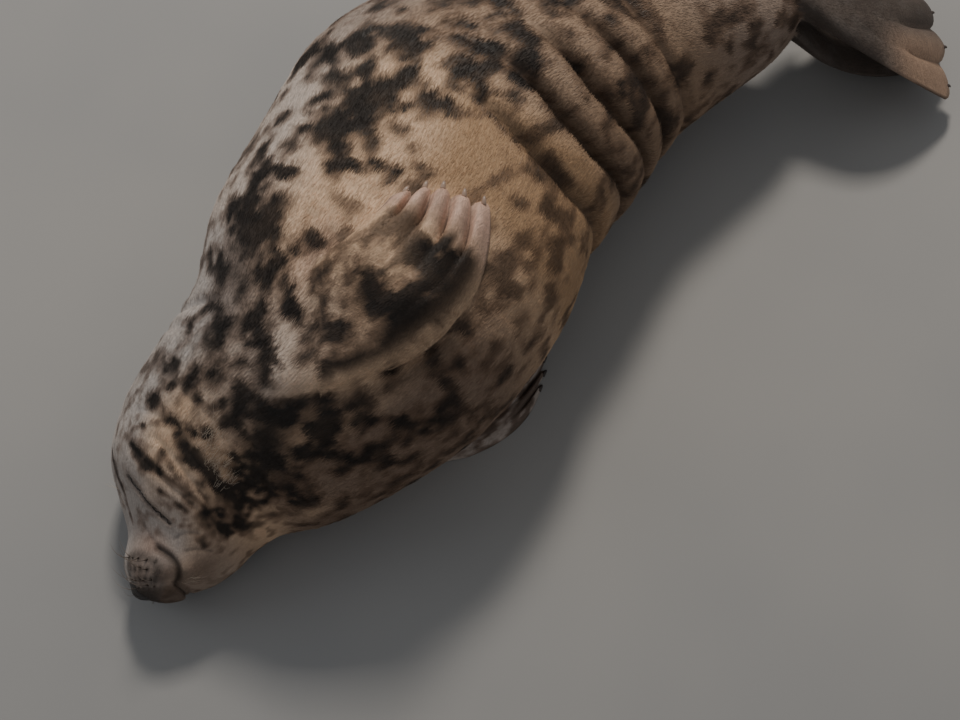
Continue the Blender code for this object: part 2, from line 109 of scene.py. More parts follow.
camera = into_scene("camera", bpy.data.cameras.new("camera"))
camera.data.lens, camera.data.sensor_width = 50, 36
aim(camera, LOOK_AT, (math.sin(TURN), -math.cos(TURN), 0), 67, 1.32)
bpy.context.scene.camera = camera
print("camera at", [round(v, 3) for v in camera.location])

# %% [markdown]
# ## Wires and nodes
#
# A material is a tree of nodes, and so is the recipe that lays the coat. Most nodes are sums. `Wire`
# wraps one socket, so that a sum is written as one, and `Tree` adds any other node by a single method.


# %% A socket that does sums
class Wire:
    """One output socket. Python's operators on it add Math nodes."""

    def __init__(self, tree, socket):
        self.tree = tree
        self.socket = socket

    def __add__(self, other):
        return self.tree.node("ShaderNodeMath", {0: self, 1: other}, operation="ADD")

    def __mul__(self, other):
        return self.tree.node("ShaderNodeMath", {0: self, 1: other}, operation="MULTIPLY")

    def __pow__(self, other):
        return self.tree.node("ShaderNodeMath", {0: self, 1: other}, operation="POWER")

    __radd__ = __add__
    __rmul__ = __mul__


# %% A tree, and a material's tree
class Tree:
    """A node tree that grows one node at a time."""

    def __init__(self, tree):
        self.tree = tree

    def node(self, kind, values, output=0, **settings):
        """Adds a node, sets it, then fills its sockets with numbers or wires."""
        made = self.tree.nodes.new(kind)
        for name, value in settings.items():
            setattr(made, name, value)
        for socket, value in values.items():
            if isinstance(value, Wire):
                self.tree.links.new(value.socket, made.inputs[socket])
            else:
                made.inputs[socket].default_value = value
        return Wire(self, made.outputs[output])


class Finish(Tree):
    """A Principled material."""

    def __init__(self, name, roughness, specular=0.5):
        self.material = bpy.data.materials.new(name)
        self.material.use_nodes = True
        super().__init__(self.material.node_tree)
        self.shader = self.tree.nodes["Principled BSDF"]
        self.shader.inputs["Roughness"].default_value = roughness
        self.shader.inputs["Specular IOR Level"].default_value = specular

    def link(self, socket, wire):
        self.tree.links.new(wire.socket, self.shader.inputs[socket])

    def place(self):
        return self.node("ShaderNodeTexCoord", {}, "Object")

    def attribute(self, name, output="Fac"):
        return self.node("ShaderNodeAttribute", {}, output, attribute_name=name)

    def noise(self, vector, scale, detail, roughness=0.55):
        values = {"Vector": vector, "Scale": scale, "Detail": detail, "Roughness": roughness}
        return self.node("ShaderNodeTexNoise", values, "Fac")

    def spread(self, value, low, high, to_low=0.0, to_high=1.0):
        """Maps a value from one range to another, and keeps it inside."""
        values = dict(enumerate((value, low, high, to_low, to_high)))
        return self.node("ShaderNodeMapRange", values, interpolation_type="SMOOTHSTEP")

    def blend(self, share, first, second, kind="MIX"):
        """Mixes two colours."""
        first, second = (c if isinstance(c, Wire) else (*c, 1.0) for c in (first, second))
        values = {0: share, 6: first, 7: second}
        return self.node("ShaderNodeMix", values, 2, data_type="RGBA", blend_type=kind)

    def cloud(self, scale, detail, smoothest, roughest):
        """Noise over the whole piece that also varies its roughness."""
        cloud = self.noise(self.place(), scale, detail)
        self.link("Roughness", self.spread(cloud, 0.3, 0.7, smoothest, roughest))
        return cloud

    def toned(self, colour, tone):
        """Links the base colour, made darker or paler by a tone around 1."""
        grey = self.node("ShaderNodeCombineColor", {0: tone, 1: tone, 2: tone})
        self.link("Base Color", self.blend(1.0, colour, grey, "MULTIPLY"))

    def bump(self, height, distance, strength):
        values = {"Height": height, "Distance": distance, "Strength": strength}
        self.link("Normal", self.node("ShaderNodeBump", values))


def dress(made, finish):
    """Gives a piece its finish, smoothly shaded, and returns it."""
    made.data.materials.clear()
    made.data.materials.append(finish.material)
    made.data.shade_smooth()
    return made


# %% [markdown]
# ## Floor and lights
#
# The floor is plain and pale. One soft warm lamp, half-way up behind the seal's back, throws its shadow
# on the belly's side. A weak cool lamp catches the edge of the head and back, and a dim sky fills in.


# %% Floor
def mesh_object(name, points, faces):
    mesh = bpy.data.meshes.new(name)
    mesh.from_pydata(np.asarray(points).tolist(), [], faces)
    mesh.update()
    return into_scene(name, mesh)


FLOOR_REACH = 8.0

floor_corners = FLOOR_REACH * np.array([(-1, -1, 0), (1, -1, 0), (1, 1, 0), (-1, 1, 0)])
floor = mesh_object("floor", floor_corners, [(0, 1, 2, 3)])
floor_finish = Finish("pale floor", 0.75, 0.25)
floor_tone = floor_finish.spread(floor_finish.noise(floor_finish.place(), 1.6, 3.0), 0.3, 0.7)
floor_finish.link("Base Color", floor_finish.blend(floor_tone, (0.315, 0.31, 0.305), (0.365, 0.352, 0.335)))
floor.data.materials.append(floor_finish.material)

# %% Lights
LAMPS = {  # heading in plan, height angle, distance, size, watts, colour
    "key": ((0.61, 0.79, 0), 50, 3.6, 0.55, 84, (1.0, 0.94, 0.86)),
    "edge": ((-0.80, 0.60, 0), 34, 2.8, 1.3, 6, (0.86, 0.93, 1.0)),
}
SKY_COLOUR, SKY_STRENGTH = (0.93, 0.96, 1.0, 1.0), 0.27

for name, (heading, height, distance, size, watts, colour) in LAMPS.items():
    lamp = into_scene(name, bpy.data.lights.new(name, "AREA"))
    lamp.data.size, lamp.data.energy, lamp.data.color = size, watts, colour
    aim(lamp, Vector(), Vector(heading).normalized(), height, distance)

world = bpy.data.worlds.new("dim sky")
world.use_nodes = True
sky = world.node_tree.nodes["Background"]
sky.inputs["Color"].default_value = SKY_COLOUR
sky.inputs["Strength"].default_value = SKY_STRENGTH
bpy.context.scene.world = world
print("lamps:", len(LAMPS))

# %% [markdown]
# ## The body's own measures
#
# The body is a smooth tube through cross-sections, nose to tail. Each row says where a section meets
# the back and the belly in plan, how high its top and underside are, and how square it is. A place on
# the skin is then given by two numbers: how far along the body it is, and its angle round the body,
# which is 0 at the back, 90 degrees on the flank that faces up, and 180 at the belly. The tables
# below are in millimetres and degrees, and are turned into metres as they are read.

# %% Cross-sections
PLAN_MIDDLE = (0.16807, 0.15936)
SECTIONS = {  # back x and y, belly x and y, top, underside, squareness above and below
    "lips": (-400.0, 40.5, -354.0, 3.5, 75.0, 15.0, 2.3, 2.3),
    "muzzle": (-393.0, 61.5, -339.5, -3.5, 82.5, 9.0, 2.3, 2.3),
    "snout": (-373.0, 86.0, -324.0, -8.0, 90.5, 5.5, 2.2, 2.2),
    "eyes": (-362.5, 114.5, -303.5, -7.5, 106.5, 1.0, 2.1, 2.3),
    "crown": (-346.5, 151.5, -283.5, -6.0, 128.5, 0.0, 2.1, 2.4),
    "nape": (-308.0, 186.5, -255.0, -10.0, 152.0, 0.0, 2.1, 2.5),
    "neck": (-244.5, 209.5, -213.0, -33.0, 195.5, 0.0, 2.1, 2.6),
    "shoulders": (-189.0, 224.5, -145.0, -51.0, 234.0, 0.0, 2.1, 2.6),
    "chest": (-134.0, 273.0, -53.0, -60.0, 261.5, 0.0, 2.1, 2.6),
    "middle": (-34.5, 327.5, 98.5, -19.5, 278.0, 0.0, 2.1, 2.6),
    "flank": (61.5, 373.0, 174.0, 28.0, 280.0, 0.0, 2.1, 2.6),
    "loin": (167.0, 376.5, 248.0, 53.0, 269.5, 0.0, 2.1, 2.6),
    "hips": (308.0, 347.5, 332.5, 82.0, 243.0, 5.5, 2.1, 2.5),
    "pelvis": (427.0, 277.0, 422.5, 84.5, 204.0, 30.0, 2.1, 2.4),
    "rump": (501.5, 220.0, 484.0, 86.0, 172.5, 54.5, 2.1, 2.3),
    "ankles": (537.0, 185.0, 519.0, 93.5, 155.0, 68.5, 2.2, 2.2),
}
ROWS = np.array([*SECTIONS.values()])
ROWS[:, :6] /= 1000
ROWS[:, :4] -= PLAN_MIDDLE * 2
CENTRES = (ROWS[:, 0:2] + ROWS[:, 2:4]) / 2
ALONG = np.concatenate([[0.0], np.cumsum(np.linalg.norm(np.diff(CENTRES, axis=0), axis=1))])
STATION = dict(zip(SECTIONS, ALONG))
LENGTH = float(STATION["ankles"])
print("stations:", {name: round(float(place), 3) for name, place in STATION.items()})

# %% A smooth curve through the rows
GAPS = np.diff(ALONG)[:, None]
RISES = np.diff(ROWS, axis=0) / GAPS
INNER = (RISES[:-1] * GAPS[1:] + RISES[1:] * GAPS[:-1]) / (GAPS[:-1] + GAPS[1:])
SLOPES = np.vstack([RISES[:1], INNER, RISES[-1:]])


def section_at(along):
    """The numbers of the cross-sections at distances along the body."""
    index = np.clip(np.searchsorted(ALONG, along) - 1, 0, len(ALONG) - 2)
    gap = (ALONG[index + 1] - ALONG[index])[..., None]
    t = (along - ALONG[index])[..., None] / gap
    return (
        (2 * t**3 - 3 * t**2 + 1) * ROWS[index]
        + (t**3 - 2 * t**2 + t) * gap * SLOPES[index]
        + (3 * t**2 - 2 * t**3) * ROWS[index + 1]
        + (t**3 - t**2) * gap * SLOPES[index + 1]
    )


def bell(value):
    """1 at 0, falling smoothly to 0 past 2 on either side."""
    return np.exp(-(value**2))


def ease(low, high, value):
    """0 at low and past it, 1 at high and past it, and a smooth step between. Low may be the greater."""
    t = np.clip((np.asarray(value, float) - low) / (high - low), 0, 1)
    return t * t * (3 - 2 * t)


# %% A point of the body from its two numbers
PRESS = 0.0053  # how far the weight flattens the underside
WAIST = 0.46  # height of the widest level, as a share of the section's height
SKIN_LEAN = 0.060  # how far loin skin is drawn towards the head at the back
MUZZLE_DOME, MUZZLE_NARROW = 0.0119, 0.22  # how far its front bulges, and how its top narrows


def signed_power(value, power):
    return np.sign(value) * np.abs(value) ** power


def body_point(along, angle):
    """Points of the smooth tube. Distances below 0 are on the domed front of the muzzle."""
    along, angle = np.broadcast_arrays(np.asarray(along, float), np.asarray(angle, float))
    across, upward = np.cos(angle), np.sin(angle)
    ventral = (1 - across) / 2
    place = np.maximum(along, 0)
    lean = SKIN_LEAN * ease(STATION["shoulders"], STATION["flank"], place)
    lean *= 1 - ease(STATION["hips"], STATION["ankles"], place)
    row = section_at(place - lean * (1 - ventral))
    back, belly = row[..., 0:2], row[..., 2:4]
    top, bottom, square_up, square_down = np.moveaxis(row[..., 4:], -1, 0)
    width = np.linalg.norm(back - belly, axis=-1)[..., None]
    dorsal = (back - belly) / width
    lowest = bottom - PRESS * (1 - ease(0.0, PRESS, bottom))
    waist = lowest + WAIST * (top - lowest)
    power = 2 / np.where(upward > 0, square_up, square_down)
    rise = np.where(upward > 0, top - waist, waist - lowest)
    rise = rise * (1 - MUZZLE_NARROW * (1 - ease(STATION["muzzle"], STATION["crown"], place)) * across)
    share = np.clip(-along / MUZZLE_DOME, 0, 1)
    size = (1 - share**3) ** (1 / 2.2)
    flat = signed_power(across, power) * size
    high = waist + signed_power(upward, power) * rise * size
    plan = (back + belly) / 2 + dorsal * width / 2 * flat[..., None]
    forward = np.stack([-dorsal[..., 1], dorsal[..., 0]], -1)
    plan = plan + forward * (MUZZLE_DOME * share)[..., None]
    return np.concatenate([plan, np.maximum(high, 0)[..., None]], -1)


def body_spot(along, degrees):
    return body_point(along, np.radians(degrees))


print("highest point of the body:", round(float(body_spot(STATION["flank"], 90)[2]), 4))

# %% [markdown]
# ## Lines and lumps
#
# Eyelids, lips and wrinkles are lines on the body. Each is given by a few places, smoothed, and pressed
# in by how near a point of the skin is to it. Natural unevenness comes from `lumps`, a smooth random
# field that is the same each time.


# %% Smooth lines on the body
def places(*numbers):
    """Places on the body, as rows of metres along it and degrees round it, from a flat list."""
    return np.reshape(numbers, (-1, 2)) / (1000, 1)


def other_side(line):
    """The same places on the side of the head that lies on the floor."""
    return line * (1, -1) + (0, 360)


def smooth_line(line, rounds=3):
    """Cuts the corners of a line of places, and returns points of the body on it."""
    for _ in range(rounds):
        quarter = line[:-1] * 0.75 + line[1:] * 0.25
        late = line[:-1] * 0.25 + line[1:] * 0.75
        line = np.vstack([line[:1], np.stack([quarter, late], 1).reshape(-1, 2), line[-1:]])
    return body_spot(line[:, 0], line[:, 1])


def nearness(points, spots, width, where):
    """1 at the spots and falling to 0 within a few widths; where picks the points that can be near."""
    found = np.zeros(len(points))
    chosen = np.flatnonzero(where)
    nearest = np.full(len(chosen), 1e9)
    for spot in spots:
        nearest = np.minimum(nearest, ((points[chosen] - spot) ** 2).sum(1))
    found[chosen] = bell(np.sqrt(nearest) / width)
    return found


def near_line(points, line, width, where):
    return nearness(points, smooth_line(line), width, where)


def near_sides(points, line, width, where):
    """How near each point is to a line of the left side of the head, and to the same line on the right."""
    return [near_line(points, side, width, where) for side in (line, other_side(line))]


# %% Smooth random lumps
LATTICE_STEPS = np.array([73856093, 19349663, 83492791])  # large primes that scramble a cell's number
SCRAMBLE, SEED_STEP, CELL_OFFSET, SMALLER = 1274126177, 7919, 17.3, 0.55


def lumps(points, size, seed):
    """A smooth random value from 0 to 1 at each point, in lumps about size across."""
    scaled = points / size + CELL_OFFSET * (seed + 1)
    cell = np.floor(scaled).astype(np.int64)
    t = scaled - cell
    t = t * t * (3 - 2 * t)
    total = np.zeros(len(points))
    for corner in itertools.product((0, 1), repeat=3):
        key = ((cell + corner) * LATTICE_STEPS).sum(1) + seed * SEED_STEP
        key = (key ^ (key >> 13)) * SCRAMBLE
        value = ((key ^ (key >> 16)) & 0xFFFF) / 0xFFFF
        total += value * np.prod(np.where(corner, t, 1 - t), axis=1)
    return total


def grain(points, size, seed, octaves=3):
    """Lumps with smaller lumps on them, still from 0 to 1."""
    weights = [SMALLER**octave for octave in range(octaves)]
    layers = [lumps(points, size / 2**octave, seed + octave) for octave in range(octaves)]
    return sum(layer * weight for layer, weight in zip(layers, weights)) / sum(weights)


# %% [markdown]
# ## Relief of the skin
#
# Loose skin hangs in rolls round the loin and in furrows round the neck. The muzzle has whisker pads
# and lips, and the closed eyes are low domes with a slit. All of these are small pushes along the
# skin's outward direction, in metres, added to the smooth tube.

# %% Where the lines run
COAT_DEPTH = 0.0016  # the skin lies this far inside the measured outline
EYE_SLIT = places(72.5, 53, 66, 64, 59.5, 75, 54.5, 84, 51.5, 92)
LIP_LINE = places(28.5, 84, 27, 92, 25, 100, 19.5, 110, 10.5, 121, 3, 131, -3, 143, -6, 160, -6.5, 180)
CHEEK_LINES = (  # the depth of each line, then its places
    (0.0008, places(27.5, 86, 31, 80, 36, 72, 42, 63)),
    (0.0007, places(42, 98, 50, 106, 56, 118)),
    (0.0007, places(36, 112, 43, 122, 48, 136)),
    (0.0006, places(90, 30, 78, 36, 60, 40, 45, 42)),
)
NECK_FURROWS = (
    (0.0026, places(92, 56, 88, 72, 81, 90, 80, 104, 76, 119, 66, 133)),
    (0.0020, places(107, 74, 103, 86, 97, 97, 91, 112, 81, 128, 72, 146)),
    (0.0028, places(126, 82, 118, 90, 112, 100, 108, 112, 104, 126, 90, 145)),
    (0.0022, places(150, 90, 138, 101, 130, 112, 119, 126, 108, 148)),
    (0.0013, places(118, 52, 122, 64, 121, 76)),
    (0.0015, places(152, 50, 150, 66, 148, 80)),
    (0.0016, places(165, 104, 152, 122, 138, 140, 128, 156)),
    (0.0042, places(201, 12, 206, 30, 216, 44, 226, 56)),
    (0.0020, places(182, 18, 186, 38, 192, 54)),
)
ARMPIT_FOLDS = (
    (0.0060, places(345, 86, 322, 86, 300, 88, 272, 94)),
    (0.0050, places(305, 92, 285, 93, 262, 99)),
    (0.0036, places(350, 78, 330, 80, 305, 80)),
    (0.0020, places(250, 98, 232, 104, 215, 112)),
)
ARM_EDGE = places(335, 131, 305, 131, 270, 127, 240, 121, 215, 114, 193, 105)
ARM_SWELL = places(330, 122, 300, 121, 268, 117, 242, 111, 220, 104)
ARM_EDGE_DEPTH, ARM_EDGE_WIDTH, ARM_RISE, ARM_SWELL_WIDTH = 0.0100, 0.0058, 0.0080, 0.0230
FOLD_WIDTH, FURROW_WIDTH, CHEEK_LINE_WIDTH = 0.0048, 0.0042, 0.0020
CREASE_TURNS = (100, 114, 128, 146, 164, 180)  # degrees from the back at which each crease is placed
CREASES = (
    (0.0120, (0.547, 0.539, 0.528, 0.522, 0.532, 0.540)),
    (0.0200, (0.603, 0.596, 0.583, 0.580, 0.592, 0.602)),
    (0.0195, (0.656, 0.648, 0.636, 0.636, 0.648, 0.657)),
    (0.0160, (0.706, 0.703, 0.700, 0.699, 0.702, 0.706)),
    (0.0080, (0.760, 0.756, 0.752, 0.750, 0.754, 0.760)),
)
CREASE_WIDTH = 0.0066
ROLL_SWELL, ROLLS_START, ROLLS_END = 0.0050, 0.527, 0.775
LID_MIDDLE, LID_RADIUS, LID_RISE = places(61, 72), 0.0115, 0.0024
SLIT_WIDTH, SLIT_SINK, SOCKET_WIDTH, SOCKET_RISE = 0.0019, 0.0026, 0.0060, 0.0006
LIP_WIDTH, LIP_SINK, LIP_SWELL_WIDTH, LIP_RISE = 0.0027, 0.0034, 0.0065, 0.0010
PAD_RISE, PAD_MIDDLE, PAD_LENGTH = 0.0044, 0.0050, 0.0170
FRONT_ROUNDING, FRONT_MIDDLE, FRONT_LENGTH = 0.0026, -0.0040, 0.0050
WAVE_HEIGHT, UNEVENNESS = 0.0024, 0.0034  # of the small waves in loose skin, and of the whole trunk


def roll_push(along, angle):
    """The rolls of the loin, fading towards the back, and the creases between them."""
    turned = np.degrees(np.arccos(np.cos(angle)))
    sink = np.zeros(np.shape(along))
    for depth, line in CREASES:
        away = np.abs(along - np.interp(turned, CREASE_TURNS, line)) / CREASE_WIDTH
        sink += depth * np.exp(-(away**1.15))
    middle = 2 * (along - ROLLS_START) / (ROLLS_END - ROLLS_START) - 1
    swell = ROLL_SWELL * np.clip(1 - middle**4, 0, None)
    return (0.05 + 0.95 * ease(92, 122, turned)) * (swell - sink)


# %% All the pushes together
def relief(points, along, angle):
    """How far each point of the skin moves outwards, and how deep it lies in a line of the face."""
    head, mouth, neck, arm = along < 0.17, along < 0.06, along < 0.27, (along > 0.15) & (along < 0.42)
    slits = near_sides(points, EYE_SLIT, SLIT_WIDTH, head)
    lips = near_sides(points, LIP_LINE, LIP_WIDTH, mouth)
    line_depth = np.maximum.reduce(slits + lips)
    pad = np.clip(np.abs(np.sin(angle)) - 0.2, 0, None) * np.clip(1 - np.abs(np.cos(angle) + 0.15), 0, None)
    push = roll_push(along, angle) - COAT_DEPTH + PAD_RISE * pad * bell((along - PAD_MIDDLE) / PAD_LENGTH)
    push -= FRONT_ROUNDING * bell((along - FRONT_MIDDLE) / FRONT_LENGTH)
    push += LID_RISE * sum(near_sides(points, LID_MIDDLE, LID_RADIUS, head))
    push += LIP_RISE * sum(near_sides(points, LIP_LINE, LIP_SWELL_WIDTH, mouth)) - LIP_SINK * sum(lips)
    push += SOCKET_RISE * sum(near_sides(points, EYE_SLIT, SOCKET_WIDTH, head)) - SLIT_SINK * sum(slits)
    for depth, line in CHEEK_LINES:
        near = near_sides(points, line, CHEEK_LINE_WIDTH, head)
        push -= depth * sum(near)
        line_depth = np.maximum(line_depth, 0.42 * np.maximum(*near))
    for depth, line in NECK_FURROWS:
        push -= depth * sum(near_sides(points, line, FURROW_WIDTH, neck))
    for depth, line in ARMPIT_FOLDS:
        push -= depth * near_line(points, line, FOLD_WIDTH, arm)
    push += ARM_RISE * near_line(points, ARM_SWELL, ARM_SWELL_WIDTH, arm)
    push -= ARM_EDGE_DEPTH * ease(0.188, 0.225, along) * near_line(points, ARM_EDGE, ARM_EDGE_WIDTH, arm)
    loose = ease(0.05, 0.16, along) * (1 - ease(0.60, 0.80, along))
    wave = np.stack([along * 2.6, angle * 0.05, angle * 0], 1)
    push += (grain(wave, 0.035, 4) - 0.5) * WAVE_HEIGHT * loose
    push += (grain(points, 0.060, 9) - 0.5) * UNEVENNESS * ease(0.10, 0.30, along)
    return push, line_depth


# %% [markdown]
# ## The trunk's mesh
#
# The trunk is one grid of rings. Rings lie closer together on the head, where the lines are fine, and
# every ring has the same number of corners, so the grid closes on itself with no seam.

# %% The grid of rings
RING_CORNERS = 264
HEAD_END, HEAD_STEP, TRUNK_STEP = 0.150, 0.00165, 0.0037
DOME_SHARES = np.array([0.999, 0.985, 0.96, 0.93, 0.89, 0.84, 0.78, 0.70, 0.60, 0.47, 0.32, 0.16])
FLOOR_CLEAR = 0.0004

trunk_places = np.linspace(HEAD_END, LENGTH, round((LENGTH - HEAD_END) / TRUNK_STEP))
ring_places = np.concatenate([-MUZZLE_DOME * DOME_SHARES, np.arange(0, HEAD_END, HEAD_STEP), trunk_places])
ring_angles = math.radians(-90) + 2 * math.pi * np.arange(RING_CORNERS) / RING_CORNERS
grid_along, grid_angle = np.meshgrid(ring_places, ring_angles, indexing="ij")
grid = body_point(grid_along, grid_angle)
print("rings:", len(ring_places), "faces:", len(ring_places) * RING_CORNERS)


def unit(vectors, least=1e-12):
    """The vectors, made one long."""
    return vectors / np.maximum(np.linalg.norm(vectors, axis=-1), least)[..., None]


tailward = np.gradient(grid, axis=0)
outward = unit(np.cross(np.roll(grid, -1, axis=1) - np.roll(grid, 1, axis=1), tailward))
tailward = unit(tailward)
if outward[len(ring_places) // 2, RING_CORNERS // 2][2] < 0:  # this corner is on top
    outward = -outward
push, line_depth = relief(grid.reshape(-1, 3), grid_along.ravel(), grid_angle.ravel())
trunk_points = grid + outward * push.reshape(grid_along.shape)[..., None]
trunk_points[..., 2] = np.maximum(trunk_points[..., 2], FLOOR_CLEAR)
print("relief from", round(push.min(), 4), "to", round(push.max(), 4))


# %% Closing the two ends
def closed_tube(rings):
    """Faces of a tube of rings, with a fan over each end. Returns points and faces."""
    count, corners = rings.shape[:2]
    points = np.vstack([rings.reshape(-1, 3), rings[0].mean(0), rings[-1].mean(0)])
    low = np.arange((count - 1) * corners)
    following = low - low % corners + (low + 1) % corners
    quads = np.stack([low, following, following + corners, low + corners], 1).tolist()
    corner = np.arange(corners)
    after = (corner + 1) % corners
    last = (count - 1) * corners
    fans = np.stack([np.full(corners, len(points) - 2), after, corner], 1).tolist()
    fans += np.stack([np.full(corners, len(points) - 1), last + corner, last + after], 1).tolist()
    return points, quads + fans


TAIL_DOME, END_SHARES = 0.010, (0.35, 0.62, 0.82, 0.94, 0.985)

end, end_middle = trunk_points[-1], trunk_points[-1].mean(0)
end_way = unit(end_middle - trunk_points[-4].mean(0))
end_rings = [
    end_middle + (end - end_middle) * math.sqrt(1 - share**2) + end_way * TAIL_DOME * share
    for share in END_SHARES
]
skin_points, skin_faces = closed_tube(np.concatenate([trunk_points, end_rings]))
print("trunk:", len(skin_points), "points")

# %% [markdown]
# ## Flippers and tail
#
# A seal's flipper is a hand or foot in a mitten of skin: five digits with thin web between them. Each
# one is a sheet through its root, its knuckles and the tips of its digits, thick along the digits and
# thin between them. The left fore flipper is draped on the flank, so its underside follows the trunk.

# %% Measures of the flippers
THINNEST = 0.0016
DIGITS, CORNERS_PER_DIGIT, FLIPPER_ROWS = 5, 8, 34
FLIPPERS = {  # the ends of the root and of the knuckles, the tips of the digits, and how thick it is
    "fore_left": {
        "root": ((-163.5, 26.5, 0), (-102, 114.5, 0)),
        "knuckles": ((-33.5, 0, 0), (-51, 112.5, 0)),
        "tips": ((58, 68.5, 0), (46.5, 82.5, 0), (35, 98.5, 0), (22, 107.5, 0), (5.5, 114.5, 0)),
        "thick": (17.5, 26.5, 12.5),
        "notch": 9,
    },
    "fore_right": {
        "root": ((-82.5, -31.5, 0), (-53, 0, 0)),
        "knuckles": ((-9, -51, 0), (17.5, 0, 0)),
        "tips": ((58, -30, 0), (72, -19.5, 0), (82.5, -7, 0), (86, 4.5, 0), (84.5, 16, 0)),
        "thick": (10.5, 14, 9),
        "notch": 7,
    },
    "hind_left": {
        "root": ((522.5, 97, 132), (539.5, 163.5, 132)),
        "knuckles": ((563, 10.5, 104), (630, 123, 116)),
        "tips": ((657, -36, 29), (684, 1, 40), (698, 40, 52), (712, 80, 64), (729, 124, 71)),
        "thick": (40.5, 24.5, 9.5),
        "notch": 16,
    },
    "hind_right": {
        "root": ((524.5, 102, 88), (541, 167, 91.5)),
        "knuckles": ((582.5, 40.5, 31.5), (637, 141, 44)),
        "tips": ((699.5, 13, 6), (709.5, 51, 6), (711, 91.5, 6), (718, 134, 6), (730.5, 176, 7)),
        "thick": (37, 23, 9),
        "notch": 16,
    },
}


# %% The middle layer of a flipper
def in_plan(points):
    """Points in metres about the middle of the plan, from millimetres."""
    return np.array(points) / 1000 - (*PLAN_MIDDLE, 0)


def through(first, middle, last, t):
    """A smooth curve that passes the middle value half-way."""
    return first * (1 - t) * (1 - 2 * t) + middle * 4 * t * (1 - t) + last * t * (2 * t - 1)


def digit_ridge(w):
    """1 along the middle of each digit and 0 in the web between two."""
    return np.abs(np.sin(math.pi * w * DIGITS)) ** 0.7


def flipper_middle(measures, v, w):
    """Points of a flipper's middle layer: v runs from root to tip, and w across the digits."""
    root, knuckles, tips = (in_plan(measures[name]) for name in ("root", "knuckles", "tips"))
    side = tips[-1] - tips[0]
    pitch = np.linalg.norm(side) / (DIGITS - 1)
    digit = w * DIGITS - 0.5
    inside = np.clip(digit, 0, DIGITS - 1)
    last = np.stack([np.interp(inside, range(DIGITS), tips[:, axis]) for axis in range(3)], -1)
    last = last + unit(side) * ((digit - inside) * pitch)[..., None]
    middle = knuckles[0] + (knuckles[1] - knuckles[0]) * w[..., None]
    last = last + unit(middle - last) * (measures["notch"] / 1000 * (1 - digit_ridge(w)))[..., None]
    first = root[0] + (root[1] - root[0]) * w[..., None]
    return through(first, middle, last, v[..., None])


# %% Its thickness
def flipper_depth(measures, v, w, root_share):
    """Thickness of a flipper: full along the digits, thin in the web, rounded at the rim and tips."""
    ridge, rim_way = digit_ridge(w), np.abs(2 * w - 1)
    toward_tips = 0.10 * ease(0.15, 0.55, v) + 0.45 * ease(0.60, 0.85, v)
    depth = through(*np.array(measures["thick"]) / 1000, v)
    depth = depth * (1 - 0.70 * rim_way**4) * (1 + toward_tips * (ridge - 0.6))
    web = bell(ridge / 0.40) * ease(0.68, 0.84, v)
    rounding = np.sqrt(np.clip(1 - np.clip((v - 0.86) / 0.14, 0, 1) ** 2.4, 0.02, 1))
    rim = np.sqrt(np.clip(1 - rim_way**14, 0.02, 1))
    depth = depth * (1 - 0.72 * web) * rounding * rim
    depth = depth * (root_share + (1 - root_share) * np.clip(v * 3, 0, 1))
    return np.maximum(depth - COAT_DEPTH, THINNEST * 0.8)


# %% A closed sheet from two layers
def sheet_faces(rows, columns):
    """Faces of a closed sheet: a grid of corners above, the same grid below, and the rim between."""
    width = columns + 1
    count = (rows + 1) * width
    corner = (np.arange(rows)[:, None] * width + np.arange(columns)).ravel()
    quads = np.stack([corner, corner + 1, corner + width + 1, corner + width], 1)
    rim = list(range(width))
    rim += [row * width + columns for row in range(1, rows + 1)]
    rim += [rows * width + column for column in range(columns - 1, -1, -1)]
    rim += [row * width for row in range(rows - 1, 0, -1)]
    sides = [[here, here + count, after + count, after] for here, after in zip(rim, rim[1:] + rim[:1])]
    return quads.tolist() + (quads[:, ::-1] + count).tolist() + sides


TRUNK_TREE = BVHTree.FromPolygons(skin_points.tolist(), skin_faces)


def trunk_heights(spots, start, way):
    """Where vertical rays from a height meet the trunk over or under each spot, and 1 where they miss."""
    starts = [Vector((x, y, start)) for x, y, _ in spots.reshape(-1, 3)]
    hits = [TRUNK_TREE.ray_cast(start, Vector((0, 0, way)))[0] for start in starts]
    return np.array([hit.z if hit else 1.0 for hit in hits]).reshape(spots.shape[:2])


# %% The four flippers
FLANK_SINK, FLANK_STAND = 0.0030, 0.0012  # how deep the draped flipper lies, and its top's extra height
ROOF_GAP, LEAST_DEPTH = 0.0006, 0.0008  # space left under the trunk, and a flipper's thinnest place
ROOT_REACH = {"fore_left": 0.0, "fore_right": 0.12, "hind_left": 0.10, "hind_right": 0.10}


def flipper_layers(limb):
    """The top and underside of one flipper, as two grids of points, with their v and w."""
    measures = FLIPPERS[limb]
    steps = np.linspace(-ROOT_REACH[limb], 1, FLIPPER_ROWS + 1)
    across = np.linspace(0, 1, CORNERS_PER_DIGIT * DIGITS + 1)
    v, w = np.meshgrid(steps, across, indexing="ij")
    spots = flipper_middle(measures, v, w)
    depth = flipper_depth(measures, v, w, 0.3 if limb == "fore_left" else 1.0)
    high, low = spots[..., 2] + depth / 2, spots[..., 2] - depth / 2
    if limb == "fore_left":
        flank = trunk_heights(spots, 1.0, -1)
        high, low = flank + depth + FLANK_STAND, flank - FLANK_SINK
    if limb == "fore_right":
        roof = trunk_heights(spots, -0.05, 1)
        high = np.where(v < 0.25, depth, np.minimum(depth, np.maximum(roof - ROOF_GAP, THINNEST)))
        low = np.zeros(v.shape)
    low = np.maximum(low, FLOOR_CLEAR)
    high = np.maximum(high, low + LEAST_DEPTH)
    return [np.concatenate([spots[..., :2], level[..., None]], -1) for level in (high, low)], v, w


